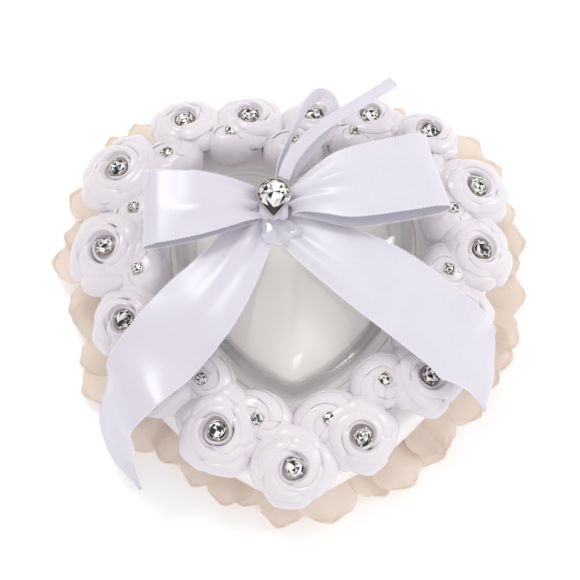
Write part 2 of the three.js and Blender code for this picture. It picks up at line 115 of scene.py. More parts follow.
knot_bottom = tail_bottom + 1.3
waist_z = knot_bottom + knot_height / 2
crystal_bottom = knot_bottom + knot_height + 0.3
ribbon_width = 25.0
print("lid top", round(lid_top, 2), "mm; knot middle", round(waist_z, 2), "mm")

# %% [markdown]
# ## Drawing a heart
# Four arcs make a heart: each side bows out from the tip, and two lobes meet in a cleft. Growing every
# arc's radius by the same amount gives an outline that stays parallel to the first, which is how the
# box, its lip, its recess and the rows of flowers all follow one another.

# %% A heart's outline as evenly spaced points
def arc(x, y, radius, start, end):
    angle = np.linspace(start, end, 120)
    return np.stack([x + radius * np.cos(angle), y + radius * np.sin(angle)], 1)


def heart_half(heart, grow=0.0, bridged=False):
    half_width, top, tip, cleft = heart
    lobe_radius = half_width + cleft - math.sqrt(2 * half_width * cleft)
    lobe_x, lobe_y = half_width - lobe_radius, top - lobe_radius
    side_radius = (half_width**2 + (lobe_y - tip) ** 2) / (2 * half_width)
    side_x = half_width - side_radius
    lobe, side = lobe_radius + grow, side_radius + grow
    cleft_angle = math.pi - math.acos(lobe_x / max(lobe, lobe_radius))
    parts = [arc(side_x, lobe_y, side, -math.acos(-side_x / side), 0)]
    if bridged:
        parts += [arc(lobe_x, lobe_y, lobe, 0, math.pi / 2), np.array([[0, lobe_y + lobe]])]
        return np.vstack(parts)
    parts.append(arc(lobe_x, lobe_y, lobe, 0, cleft_angle))
    if grow < 0:
        parts.append(arc(0, top - cleft, -grow, cleft_angle - math.pi, -math.pi / 2))
    return np.vstack(parts)


def evenly(line, count):
    """count points along an open line, at equal steps, with its two ends."""
    line = np.asarray(line, float)
    steps = np.linalg.norm(np.diff(line, axis=0), axis=1)
    along = np.concatenate([[0], np.cumsum(steps)])
    wanted = np.linspace(0, along[-1], count)
    return np.stack([np.interp(wanted, along, line[:, k]) for k in range(line.shape[1])], 1)


def heart_outline(heart, grow=0.0, count=144, bridged=False):
    right = evenly(heart_half(heart, grow, bridged), count // 2 + 1)
    right[[0, -1], 0] = 0
    return np.vstack([right, right[1:-1][::-1] * [-1, 1]])


def heart_ring(heart, grow, z, count=288):
    flat = heart_outline(heart, grow, count)
    return np.column_stack([flat, np.full(count, z)])


print(
    "pillow outline length, mm:",
    round(2 * np.linalg.norm(np.diff(heart_half(pillow_heart), axis=0), axis=1).sum()),
)

# %% [markdown]
# ## Skins
# Most pieces are skins stretched over a row of outlines, the way a boat's planks lie over its ribs. One
# function joins rows of points into faces that look outward, closes the ends, and can lay a cloth map
# in real metres over the piece, so that a weave keeps its size wherever the cloth goes.

# %% Join rows of points into one closed skin
rim_angle = math.radians(42)  # a thin sheet's cut edge is sharper than any fold, and is shaded on its own


def enclosed(points, faces):
    """The volume inside closed faces: positive when they look outward."""
    total = 0.0
    for size in {len(face) for face in faces}:
        corner = points[np.array([face for face in faces if len(face) == size])]
        for k in range(1, size - 1):
            total += (corner[:, 0] * np.cross(corner[:, k], corner[:, k + 1])).sum() / 6
    return total


def in_scene(name, data):
    piece = bpy.data.objects.new(name, data)
    bpy.context.scene.collection.objects.link(piece)
    return piece


def skin(name, rows, loop=False, cloth=None, smooth=True):
    rows = np.asarray(rows, float)
    count, sides = rows.shape[:2]
    row, side = np.meshgrid(np.arange(count if loop else count - 1), np.arange(sides), indexing="ij")
    after, beside = (row + 1) % count, (side + 1) % sides
    quads = np.stack(
        [row * sides + side, row * sides + beside, after * sides + beside, after * sides + side], -1
    )
    faces = quads.reshape(-1, 4).tolist()
    points = rows.reshape(-1, 3)
    if not loop:
        first, last = len(points), len(points) + 1
        points = np.vstack([points, rows[0].mean(0), rows[-1].mean(0)])
        base = (count - 1) * sides
        faces += [[(i + 1) % sides, i, first] for i in range(sides)]
        faces += [[base + i, base + (i + 1) % sides, last] for i in range(sides)]
    mesh = bpy.data.meshes.new(name)
    mesh.from_pydata((points * MM).tolist(), [], faces)
    if cloth is not None:
        cloth = np.asarray(cloth, float) * MM
        corners = [(row, side), (row, side + 1), (row + 1, side + 1), (row + 1, side)]
        flat = np.stack([cloth[r, c] for r, c in corners], -2).reshape(-1, 2)
        spare = np.zeros((len(mesh.loops) - len(flat), 2))
        mesh.uv_layers.new(name="cloth").data.foreach_set("uv", np.vstack([flat, spare]).ravel())
    mesh.polygons.foreach_set("use_smooth", [smooth] * len(mesh.polygons))
    if enclosed(points - points.mean(0), faces) < 0:
        mesh.flip_normals()
    mesh.update()
    if smooth:
        mesh.set_sharp_from_angle(angle=rim_angle)
    return in_scene(name, mesh)


def joined(name, pieces):
    """Several meshes as one object, with every point where it was."""
    build = bmesh.new()
    for piece in pieces:
        build.from_mesh(piece.data)
        bpy.data.objects.remove(piece)
    mesh = bpy.data.meshes.new(name)
    build.to_mesh(mesh)
    build.free()
    return in_scene(name, mesh)


def settle(piece, body, finish, slot_name, *nodes):
    """Gives a finished piece its material and body and hides the nodes that it stands for; slot_name is not
    used.
    """
    piece.data.materials.clear()
    piece.data.materials.append(finish)
    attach(piece, body)
    if nodes:
        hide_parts(*nodes)
    return piece


print("skins are ready")

# %% [markdown]
# ## Colours and nodes
# A screen colour is not a light level: sRGB squeezes the dark end. One function turns a hex colour to
# the linear numbers that a shader wants, and one adds a node with its settings and its links.

# %% Turn a hex colour to linear, and add a node
def linear(hex_colour):
    parts = [int(hex_colour[i : i + 2], 16) / 255 for i in (1, 3, 5)]
    return [c / 12.92 if c <= 0.04045 else ((c + 0.055) / 1.055) ** 2.4 for c in parts] + [1.0]


def add_node(tree, kind, inputs=None, **settings):
    node = tree.nodes.new(kind)
    for name, value in settings.items():
        setattr(node, name, value)
    for label, value in (inputs or {}).items():
        socket = node.inputs[label]
        if isinstance(label, str):
            socket = next(s for s in node.inputs if s.name == label and s.enabled)
        if isinstance(value, bpy.types.NodeSocket):
            tree.links.new(value, socket)
        else:
            socket.default_value = value
    return node


def result(node):
    """The first output in use; a Mix node keeps hidden ones for its other kinds."""
    return next(s for s in node.outputs if s.enabled)


def new_finish(name):
    finish = bpy.data.materials.new(name)
    finish.use_nodes = True
    finish.node_tree.nodes.clear()
    return finish, finish.node_tree


print("the roses' white, linear:", [round(c, 3) for c in linear("#ebe6ea")])

# %% [markdown]
# ## Satin
# Polyester satin is woven so that long threads float on its face. It gives a soft broad highlight that
# turns lavender in shade. Ribbon satin is read through its own cloth map, so that its threads run with
# the ribbon; flowers are small, so theirs lie in object space. Real threads are about 0.12 mm apart,
# too fine to see when the whole pillow is in view, so they are drawn about 0.4 mm apart. The cover and
# the lining also glow a little, for light that bounces about a white pit more often than is followed.

# %% Make the satins
drift_scale, grain_scale = 90.0, 2400.0  # spots 11 mm and 0.4 mm across
thread_scale = 785.0  # a wave has 20 turns in 2 pi at scale 1, so its threads are 0.4 mm apart


def satin(name, bright, shade, roughness, sparkle, mapped, bounced=0.0):
    finish, tree = new_finish(name)
    place = add_node(tree, "ShaderNodeTexCoord").outputs["UV" if mapped else "Object"]
    drift = add_node(tree, "ShaderNodeTexNoise", {"Vector": place, "Scale": drift_scale, "Detail": 2.0})
    colour = add_node(
        tree,
        "ShaderNodeMix",
        {"Factor": result(drift), "A": linear(bright), "B": linear(shade)},
        data_type="RGBA",
    )
    thread = add_node(
        tree,
        "ShaderNodeTexWave",
        {"Vector": place, "Scale": thread_scale, "Distortion": 1.2, "Detail": 1.0},
        bands_direction="X",
    )
    grain = add_node(tree, "ShaderNodeTexNoise", {"Vector": place, "Scale": grain_scale, "Detail": 1.0})
    weave = add_node(
        tree, "ShaderNodeMix", {"Factor": sparkle, "A": thread.outputs["Fac"], "B": result(grain)}
    )
    bump = add_node(
        tree,
        "ShaderNodeBump",
        {"Height": result(weave), "Strength": 0.04 + 0.5 * sparkle, "Distance": 0.00004},
    )
    gloss = add_node(
        tree,
        "ShaderNodeMapRange",
        {"Value": result(grain), "To Min": roughness - 0.05, "To Max": roughness + 0.07},
    )
    shader = add_node(
        tree,
        "ShaderNodeBsdfPrincipled",
        {
            "Base Color": result(colour),
            "Roughness": gloss.outputs["Result"],
            "Normal": bump.outputs["Normal"],
            "Sheen Weight": 0.12,
            "Sheen Roughness": 0.4,
            "Emission Color": linear(bright),
            "Emission Strength": bounced,
        },
    )
    add_node(tree, "ShaderNodeOutputMaterial", {"Surface": shader.outputs["BSDF"]})
    return finish


rose_satin = satin("rose_satin", "#ebe6ea", "#e1dce4", 0.22, 0.0, False)
ribbon_satin = satin("ribbon_satin", "#e0dde8", "#d8d4e1", 0.22, 0.25, True)
sparkle_satin = satin("sparkle_satin", "#e5e2ec", "#dbd8e4", 0.27, 0.8, True)
cover_satin = satin("cover_satin", "#faf8f9", "#f5f2f4", 0.38, 0.3, False, 0.07)
lining_satin = satin("lining_satin", "#fffdf9", "#fbf7f1", 0.42, 0.3, False, 0.1)
print("five satins")

# %% [markdown]
# ## Organza, card, foam and thread
# The fringe is cream organza, stiffened so that it keeps its petal shape. It passes some light, so it is
# a mix of a lit surface and one that glows from behind. The board is rough white card, the filling is
# open-cell foam, and the woven edge of the ribbon is plain white thread.

# %% Make the organza, card, foam and thread
def grainy(name, first, second, scale, roughness, height, glow=0.0):
    finish, tree = new_finish(name)
    place = add_node(tree, "ShaderNodeTexCoord").outputs["Object"]
    grain = add_node(tree, "ShaderNodeTexNoise", {"Vector": place, "Scale": scale, "Detail": 3.0})
    colour = add_node(
        tree,
        "ShaderNodeMix",
        {"Factor": result(grain), "A": linear(first), "B": linear(second)},
        data_type="RGBA",
    )
    bump = add_node(tree, "ShaderNodeBump", {"Height": result(grain), "Strength": 0.4, "Distance": height})
    shader = add_node(
        tree,
        "ShaderNodeBsdfPrincipled",
        {"Base Color": result(colour), "Roughness": roughness, "Normal": bump.outputs["Normal"]},
    )
    surface = shader.outputs["BSDF"]
    if glow:
        through = add_node(tree, "ShaderNodeBsdfTranslucent", {"Color": result(colour)})
        surface = add_node(
            tree, "ShaderNodeMixShader", {0: glow, 1: surface, 2: through.outputs["BSDF"]}
        ).outputs[0]
    add_node(tree, "ShaderNodeOutputMaterial", {"Surface": surface})
    return finish


organza = grainy("fringe_organza", "#fef8f2", "#faf1e9", 900.0, 0.5, 0.00003, glow=0.55)
card = grainy("backing_card", "#f2eee6", "#e4dfd5", 700.0, 0.9, 0.0001)
foam = grainy("foam", "#f4ecda", "#e6dcc4", 1100.0, 0.95, 0.0004)
thread = grainy("selvage_thread", "#f7f6fb", "#efeef6", 1500.0, 0.5, 0.00003)
print("four matt finishes")

# %% [markdown]
# ## Clear plastic, crystal and metal
# The box is moulded polystyrene: clear, thin and glossy, so what is behind it shows straight through
# and the rest is reflection. Cut crystal looks black, white and grey by turns, because each facet sends
# the eye somewhere else; a painted reflection, one colour kept on each facet, says that better than
# glass with few light paths.
# The cups and claws are silver-plated brass.

# %% Make the plastic, crystal and metal
def see_through(name, milk_colour, milk, roughness):
    """Clear plastic as a thin wall: it lets light by, hazes it a little, and mirrors more at a slant."""
    finish, tree = new_finish(name)
    clear = add_node(tree, "ShaderNodeBsdfTransparent", {"Color": linear("#ffffff")})
    haze = add_node(tree, "ShaderNodeBsdfDiffuse", {"Color": linear(milk_colour)})
    wall = add_node(
        tree, "ShaderNodeMixShader", {0: milk, 1: clear.outputs["BSDF"], 2: haze.outputs["BSDF"]}
    )
    mirror = add_node(
        tree,
        "ShaderNodeBsdfPrincipled",
        {"Base Color": linear("#ffffff"), "Metallic": 1.0, "Roughness": roughness},
    )
    slant = add_node(tree, "ShaderNodeLayerWeight", {"Blend": 0.5}).outputs["Facing"]
    steep = add_node(tree, "ShaderNodeMath", {0: slant, 1: 4.0}, operation="POWER")
    share = add_node(tree, "ShaderNodeMapRange", {"Value": steep.outputs[0], "To Min": 0.07, "To Max": 0.4})
    surface = add_node(
        tree,
        "ShaderNodeMixShader",
        {0: share.outputs["Result"], 1: wall.outputs[0], 2: mirror.outputs["BSDF"]},
    )
    add_node(tree, "ShaderNodeOutputMaterial", {"Surface": surface.outputs[0]})
    return finish


def plain_gloss(name, colour, metallic, roughness, facet=False):
    finish, tree = new_finish(name)
    shader = add_node(
        tree,
        "ShaderNodeBsdfPrincipled",
        {"Base Color": linear(colour), "Metallic": metallic, "Roughness": roughness},
    )
    if facet:
        # the facet layer holds a painted reflection colour for each face
        shade = add_node(tree, "ShaderNodeVertexColor", layer_name="facet")
        tree.links.new(shade.outputs["Color"], shader.inputs["Base Color"])
    else:
        place = add_node(tree, "ShaderNodeTexCoord").outputs["Object"]
        wear = add_node(tree, "ShaderNodeTexNoise", {"Vector": place, "Scale": 1500.0, "Detail": 2.0})
        rough = add_node(
            tree,
            "ShaderNodeMapRange",
            {"Value": result(wear), "To Min": roughness * 0.6, "To Max": roughness * 1.5},
        )
        tree.links.new(rough.outputs["Result"], shader.inputs["Roughness"])
    add_node(tree, "ShaderNodeOutputMaterial", {"Surface": shader.outputs["BSDF"]})
    return finish


clear_plastic = see_through("clear_plastic", "#fdfbf8", 0.03, 0.04)
clear_glue = see_through("clear_glue", "#f1eff5", 0.3, 0.12)
# the crystal's colour is painted reflection, read from each face's facet layer
crystal = plain_gloss("crystal", "#ffffff", 0.0, 0.04, facet=True)
plated_metal = plain_gloss("setting_metal", "#d2cabd", 1.0, 0.28)
print("plastic, glue, crystal and metal")

# %% [markdown]
# ## Places for the flowers
# The roses were glued by hand, so the room that each takes along the ring differs. Their feet stand back
# from the pillow's edge because they lean out over it. The buds stand midway between the box's recess
# and the roses' feet. Each place is a point and the way that the flower leans.

# %% Work out where the flowers stand
def places_along(outline, distances):
    closed = np.vstack([outline, outline[:1]])
    steps = np.linalg.norm(np.diff(closed, axis=0), axis=1)
    along = np.concatenate([[0], np.cumsum(steps)])
    places = []
    for distance in distances:
        d = distance % along[-1]
        x, y = (np.interp(d, along, closed[:, k]) for k in (0, 1))
        around = [
            [np.interp((d + s) % along[-1], along, closed[:, k]) for k in (0, 1)] for s in (-1.5, 1.5)
        ]
        tangent = np.subtract(around[1], around[0])
        places.append((x, y, math.atan2(-tangent[0], tangent[1])))
    return places


def leaning(place, tilt, z):
    x, y, heading = place
    return Matrix.Translation((x, y, z)) @ Matrix.Rotation(heading, 4, "Z") @ Matrix.Rotation(tilt, 4, "Y")


def moved(points, matrix):
    return np.asarray(points) @ np.array(matrix.to_3x3()).T + np.array(matrix.translation)


rose_ring = heart_outline(pillow_heart, -(4 + rose_height * math.sin(rose_tilt)), 144, bridged=True)
ring_length = np.linalg.norm(np.diff(np.vstack([rose_ring, rose_ring[:1]]), axis=0), axis=1).sum()
room = np.array(rose_spacing) * ring_length / sum(rose_spacing)
rose_places = places_along(rose_ring, np.concatenate([[0], np.cumsum(room)[:-1]]))
rose_radii = [min(rose_full, (min(room[i - 1], room[i]) - 0.3) / 2) for i in range(len(room))]
bud_ring = (heart_outline(box_heart, recess_grow, 144) + rose_ring) / 2
bud_length = np.linalg.norm(np.diff(np.vstack([bud_ring, bud_ring[:1]]), axis=0), axis=1).sum()
bud_places = places_along(bud_ring, (np.arange(bud_count) + 0.5) * bud_length / bud_count)
low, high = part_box("rose_05")
print(
    "rose 5 stands at",
    [round(v, 1) for v in rose_places[4][:2]],
    "mm; its node's middle is",
    (low + high) / 2 / MM,
)

# %% [markdown]
# ## Ribbon roses
# A ribbon rose is one folded ribbon, rolled tight at its heart and turned over on itself for each petal.
# It could be a spiral moved along a curve, but real petals overlap: each starts tucked inside the last
# and ends outside the next. So a rose here is a coil round the stone and then three rings of petals,
# each ring broader and lower than the last, and each petal is a folded band with a rolled edge. Every
# rose draws its own sizes from a seeded generator, so no two are alike.

# %% Shape one folded band
def folded_band(angles, foot, rim_radius, rim_height, flare, roll, thick=0.3):
    """A double layer of ribbon that rises from a foot ring to a rim and rolls over it."""
    foot_radius, foot_height = foot
    rise = rim_height - foot_height
    out = rim_radius - foot_radius
    line = np.stack(
        [
            np.stack(
                [foot_radius + share * out + lip * flare, foot_height + climb * rise - drop * roll], -1
            )
            for share, climb, lip, drop in (
                (0.0, 0.0, 0.0, 0.0),
                (0.5, 0.34, 0.0, 0.0),
                (0.8, 0.66, 0.0, 0.0),
                (0.95, 0.88, 0.0, 0.0),
                (1.0, 0.98, 0.02, 0.0),
                (1.0, 1.0, 0.12, 0.0),
                (1.0, 1.0, 0.3, 0.08),
                (1.0, 1.0, 0.55, 0.26),
                (1.0, 1.0, 0.8, 0.55),
                (1.0, 1.0, 0.97, 0.85),
                (1.0, 1.0, 0.98, 1.15),
            )
        ],
        1,
    )
    way = np.gradient(line, axis=1)
    way /= np.linalg.norm(way, axis=2, keepdims=True)
    side = np.stack([-way[..., 1], way[..., 0]], -1) * thick / 2
    tip = line[:, -1] + way[:, -1] * thick / 2
    section = np.concatenate([line + side, tip[:, None], (line - side)[:, ::-1]], 1)
    turn = np.stack([np.cos(angles), np.sin(angles)], -1)
    rows = np.concatenate([section[..., :1] * turn[:, None, :], section[..., 1:]], -1)
    return rows[:, ::-1]


print("a band has 23 points round its section")

# %% Fold the roses
def rose_bands(radius, random):
    """Every band of one rose, standing upright on its foot."""
    bands = []
    swing = random.uniform(0, 2 * math.pi)
    coil = np.linspace(0, 2 * math.pi * 1.3, 52)
    share = coil / coil[-1]
    rim = 3.1 + (radius * 0.4 - 3.1) * share + 0.2 * np.sin(3 * coil + swing)
    ends = 0.8 + 0.2 * (1 - np.abs(2 * share - 1) ** 6)
    height = rose_height * (0.87 + 0.05 * share + 0.03 * np.sin(2 * coil + swing)) * ends
    bands.append((coil + swing, (rim * 0.7, np.full_like(coil, 5.0)), rim, height, 0.7 + 0.5 * share, 0.5))
    for count, inner, level, spread, lip in (
        (random.integers(2, 4), 0.45, 1.0, 0.2, 0.1),
        (random.integers(3, 5), 0.6, 0.96, 0.3, 0.2),
        (random.integers(4, 6), 0.79, 0.84, 0.34, 0.34),
    ):
        swing += random.uniform(0.4, 1.4)
        for k in range(count):
            x = np.linspace(0, 1, 30)
            wide = 2 * math.pi / count * random.uniform(1.28, 1.48)
            angles = swing + (k + random.uniform(-0.08, 0.08)) * 2 * math.pi / count + (x - 0.5) * wide
            full = (1 - np.abs(2 * x - 1) ** 4) ** 0.7
            corner = 0.1 * np.exp(-(((x - random.uniform(0.25, 0.75)) / 0.12) ** 2))
            ring = radius * (inner + random.uniform(-0.02, 0.02)) + (x - 0.5) * 1.7
            crown = rose_height * (level + random.uniform(-0.04, 0.03))
            height = crown * (0.74 + 0.26 * full) - (x - 0.5) * 0.5
            reach = radius * (spread * (0.25 + 0.75 * full) * random.uniform(0.85, 1.15) + corner * inner)
            drop = radius * lip * (0.3 + 0.7 * full) * random.uniform(0.75, 1.2)
            foot, edge = (ring * 0.5, np.full_like(x, 1.2)), ring * (0.92 + 0.08 * full)
            bands.append((angles, foot, edge, height, reach, drop))
    return bands


def folded_rose(name, radius, matrix, random):
    folds = []
    for angles, foot, rim, height, reach, drop in rose_bands(radius, random):
        rows = folded_band(angles, foot, rim, height, reach, drop)
        folds.append(skin(name, moved(rows, matrix)))
    turns = np.linspace(0, 2 * math.pi, 24, endpoint=False)
    core = [
        (0.6, 0.0), (rose_foot, 1.0), (radius * 0.55, 4.6), (radius * 0.5, 6.4), (3.2, rose_well + 0.8),
        (0.5, rose_well + 0.6),
    ]
    rows = [[(r * math.cos(a), r * math.sin(a), z) for a in turns] for r, z in core]
    folds.append(skin(name, moved(rows, matrix)))
    return joined(name, folds)


roses = []
for i, place in enumerate(rose_places):
    random = np.random.default_rng(400 + i)
    name = f"ribbon_rose_{i + 1:02d}"
    rose = folded_rose(name, rose_radii[i] * 1.04, leaning(place, rose_tilt, rose_z), random)
    roses.append(settle(rose, "pillow", rose_satin, "rose_satin", f"rose_{i + 1:02d}"))
print(len(roses), "roses;", len(roses[0].data.polygons), "faces in the first")

# %% [markdown]
# ## Rosebuds
# A bud is a ball of satin with its petals wrapped over one another like a closing shutter. Each petal
# here covers more than half of the ball: it starts tucked under, near the tip, and its free edge runs
# down across the next petal. A plain ball inside closes what the petals leave open.

# %% Wrap the buds
def bud_point(angle, level, out, wide_radius):
    """A point on the bud at an angle and a level from 0 at its foot to 1 at its tip."""
    lift = 0.5 - 0.5 * np.cos(math.pi * level)
    wide = np.sin(math.pi * level) ** 0.55 * (1.02 - 0.12 * level)
    r = wide_radius * wide + out
    return np.stack(
        [r * np.cos(angle), 1.3 * r * np.sin(angle), (bud_height - 0.6) * lift + out * (level - 0.4)], -1
    )


def wrapped_bud(name, matrix, wide_radius, random):
    folds = []
    count = random.integers(3, 5)
    swing = random.uniform(0, 2 * math.pi)
    for k in range(count):
        x = np.linspace(0, 1, 26)[:, None]
        angle = swing + k * 2 * math.pi / count + (x - 0.5) * 2 * math.pi / count * random.uniform(2.0, 2.3)
        top = 0.95 - random.uniform(0.42, 0.5) * x**1.7
        level = 0.06 + (top - 0.06) * np.linspace(0, 1, 13)[None, :]
        tuck = 0.1 + 0.5 * x
        edge = 0.1 * (level / top) ** 6 * x
        outer = bud_point(angle, level, tuck + edge + 0.22, wide_radius)
        inner = bud_point(angle, level, tuck + edge, wide_radius)
        folds.append(skin(name, moved(np.concatenate([outer, inner[:, ::-1]], 1)[:, ::-1], matrix)))
    turns = np.linspace(0, 2 * math.pi, 24, endpoint=False)
    rows = [bud_point(turns, np.full(24, level), 0.0, wide_radius) for level in np.linspace(0.03, 0.97, 12)]
    folds.append(skin(name, moved(np.array(rows), matrix)))
    return joined(name, folds)


buds = []
for i, place in enumerate(bud_places):
    random = np.random.default_rng(700 + i)
    to_box = np.linalg.norm(heart_outline(box_heart, 1.6) - np.array(place[:2]), axis=1).min()
    wide_radius = min(9.5, to_box - 1.0)  # satin is soft, so a bud fills the room beside the box
    bud = wrapped_bud(f"wrapped_bud_{i + 1:02d}", leaning(place, bud_tilt, bud_z), wide_radius, random)
    buds.append(settle(bud, "pillow", rose_satin, "rose_satin", f"rosebud_{i + 1:02d}"))
print(len(buds), "buds")

# %% [markdown]
# ## Stones in their cups
# A cut stone has a flat table, a ring of slanting crown facets, a thin girdle and a pointed back that
# hides in its cup. Each facet keeps one colour as a painted reflection, drawn from what cut glass
# shows: mostly pale, with some nearly black. With its cup, a rose's stone is 6 mm across and a bud's
# is 4 mm.

# %% Cut a stone and turn its cup
rose_stone, bud_stone = 2.8, 1.9  # radii of the glass; the cup adds a fourteenth
# painted reflections: each colour stands for what a cut facet reflects, from white glints to near black
painted_reflection_colours = [
    linear(c) for c in ("#fbfbfd", "#17181a", "#8d8f92", "#e9e9ec", "#3a3a3d", "#f4efe4", "#c4c5c8")
]


def paint_facet_reflections(piece, random, share=(0.24, 0.2, 0.14, 0.12, 0.14, 0.08, 0.08)):
    # each face gets one painted reflection colour in its facet layer
    layer = piece.data.color_attributes.new("facet", "FLOAT_COLOR", "CORNER")
    for face in piece.data.polygons:
        shade = painted_reflection_colours[random.choice(len(painted_reflection_colours), p=share)]
        for corner in face.loop_indices:
            layer.data[corner].color = shade


def cut_corners(piece):
    """Splits every four-sided facet in two, as a stone's kite facets are."""
    build = bmesh.new()
    build.from_mesh(piece.data)
    bmesh.ops.triangulate(build, faces=[f for f in build.faces if len(f.verts) == 4])
    build.to_mesh(piece.data)
    build.free()


def cut_stone(name, radius, matrix, random):
    """A round stone whose back point is at the matrix's origin and whose table faces its +Z."""
    sides = 8
    turns = np.arange(sides) * 2 * math.pi / sides
    levels = [(0.12, 0.1, 0.0), (1.0, 0.86, 0.0), (1.0, 0.98, 0.0), (0.8, 1.22, 0.5), (0.54, 1.34, 0.0)]
    rows = []
    for r, z, twist in levels:
        angles = turns + twist * math.pi / sides
        rows.append(
            [(radius * r * math.cos(a), radius * r * math.sin(a), radius * z * 0.68) for a in angles]
        )
    stone = skin(name, moved(rows, matrix), smooth=False)
    cut_corners(stone)
    paint_facet_reflections(stone, random)
    return stone


def stone_cup(name, radius, matrix):
    turns = np.linspace(0, 2 * math.pi, 32, endpoint=False)
    profile = [
        (1.0, 0.62), (1.05, 0.6), (1.07, 0.46), (1.03, 0.2), (0.8, 0.0), (0.5, -0.04), (0.42, 0.04),
        (0.76, 0.12), (0.98, 0.36),
    ]
    rows = [
        [(radius * r * math.cos(a), radius * r * math.sin(a), radius * z) for r, z in profile]
        for a in turns
    ]
    return skin(name, moved(np.array(rows)[::-1], matrix), loop=True)


stone_seats = []
for i, place in enumerate(rose_places):
    random = np.random.default_rng(900 + i)
    seat = leaning(place, rose_tilt, rose_z) @ Matrix.Translation((0, 0, rose_well + 0.8))
    seat = seat @ Matrix.Rotation(random.uniform(-0.2, 0.2), 4, "X")
    seat = seat @ Matrix.Rotation(random.uniform(-0.2, 0.2), 4, "Y")
    stone_seats.append((seat, rose_stone))
    stone = cut_stone(f"rose_stone_cut_{i + 1:02d}", rose_stone, seat, random)
    settle(stone, "pillow", crystal, "crystal", f"rose_stone_{i + 1:02d}")
for i, place in enumerate(bud_places):
    random = np.random.default_rng(950 + i)
    seat = leaning(place, bud_tilt, bud_z) @ Matrix.Translation((0, 0, bud_height - 1.6))
    stone_seats.append((seat, bud_stone))
    settle(cut_stone(f"bud_stone_{i + 1:02d}", bud_stone, seat, random), "pillow", crystal, "crystal")
cups = joined("stone_cups", [stone_cup("cup", radius, seat) for seat, radius in stone_seats])
settle(cups, "pillow", plated_metal, "setting_metal")
print(len(stone_seats), "stones in cups")

# %% [markdown]
# ## Growing what repeats
# Claws, petals and stitches repeat along a line, so Geometry Nodes place them: one small shape is drawn
# once and an instance is set on each point. The instances are then realised, because only real mesh can
# be exported, and the modifier is taken off again.

# %% Start a Geometry Nodes tree and bake its result
def start_tree(name, *sockets):
    tree = bpy.data.node_groups.new(name, "GeometryNodeTree")
    tree.interface.new_socket("Geometry", in_out="INPUT", socket_type="NodeSocketGeometry")
    for label, kind in sockets:
        tree.interface.new_socket(label, in_out="INPUT", socket_type=kind)
    tree.interface.new_socket("Geometry", in_out="OUTPUT", socket_type="NodeSocketGeometry")
    return tree, add_node(tree, "NodeGroupInput")


def end_tree(tree, instances, finish):
    real = add_node(tree, "GeometryNodeRealizeInstances", {"Geometry": instances})
    painted = add_node(tree, "GeometryNodeSetMaterial", {"Geometry": real.outputs[0], "Material": finish})
    add_node(tree, "NodeGroupOutput", {"Geometry": painted.outputs[0]})


def grown(name, carrier, tree, **values):
    """What the tree makes on the carrier, as a plain mesh. The carrier is used up."""
    grower = carrier.modifiers.new(tree.name, "NODES")
    grower.node_group = tree
    for item in tree.interface.items_tree:
        if item.in_out == "INPUT" and item.name in values:
            grower[item.identifier] = values[item.name]
    graph = bpy.context.evaluated_depsgraph_get()
    graph.update()
    mesh = bpy.data.meshes.new_from_object(carrier.evaluated_get(graph), depsgraph=graph)
    carrier.modifiers.remove(grower)
    bpy.data.objects.remove(carrier)
    mesh.name = name
    return in_scene(name, mesh)


def line_object(name, lines, closed=False):
    """Lines of points in millimetres as one curve object, for a tree to follow."""
    curve = bpy.data.curves.new(name, "CURVE")
    curve.dimensions = "3D"
    for line in lines:
        spline = curve.splines.new("POLY")
        spline.points.add(len(line) - 1)
        spline.points.foreach_set(
            "co", np.column_stack([np.asarray(line) * MM, np.ones(len(line))]).ravel()
        )
        spline.use_cyclic_u = closed
    return in_scene(name, curve)


print("trees can be grown")

# %% [markdown]
# ## The petal fringe
# Cream organza petals are glued under the pillow in two rows, each row covering the gaps of the other.
# A petal is a stiff leaf with two soft corners, a blunt point and a light fold. Three leaves are drawn,
# and the tree sets one at each point of the pillow's outline, turned outward and tipped by its own amount.

# %% Draw three petals
def petal_leaf(name, width, length, fold, droop):
    """A stiff leaf, widest at two thirds of its length, with two soft corners and a blunt point."""
    x = np.linspace(-1, 1, 13)
    rows = []
    for t in np.linspace(0, 1, 12):
        half = width / 2 * np.interp(t, [0, 0.35, 0.68, 0.9, 1], [0.5, 0.8, 1, 0.8, 0.52])
        end = length * t - 2.6 * np.abs(x) ** 1.5 * t**5
        cup = fold * (1 - np.abs(x) ** 1.4) * t
        z = -droop * t**2 + cup + 0.35 * fold * np.sin(2.2 * math.pi * x) * t**3
        top = np.stack([x * half, end, z + 0.1], 1)
        under = np.stack([x * half, end, z - 0.1], 1)
        rows.append(np.concatenate([under, top[::-1]]))
    return skin(name, np.array(rows)[::-1])


petal_kinds = bpy.data.collections.new("petal_kinds")
bpy.context.scene.collection.children.link(petal_kinds)
for name, width, length, fold, droop in (
    ("petal_a", 17.0, 23.0, 1.0, 0.4),
    ("petal_b", 15.5, 22.0, -0.8, 0.1),
    ("petal_c", 18.5, 21.5, 1.3, 0.5),
):
    leaf = petal_leaf(name, width, length, fold, droop)
    bpy.context.scene.collection.objects.unlink(leaf)
    petal_kinds.objects.link(leaf)

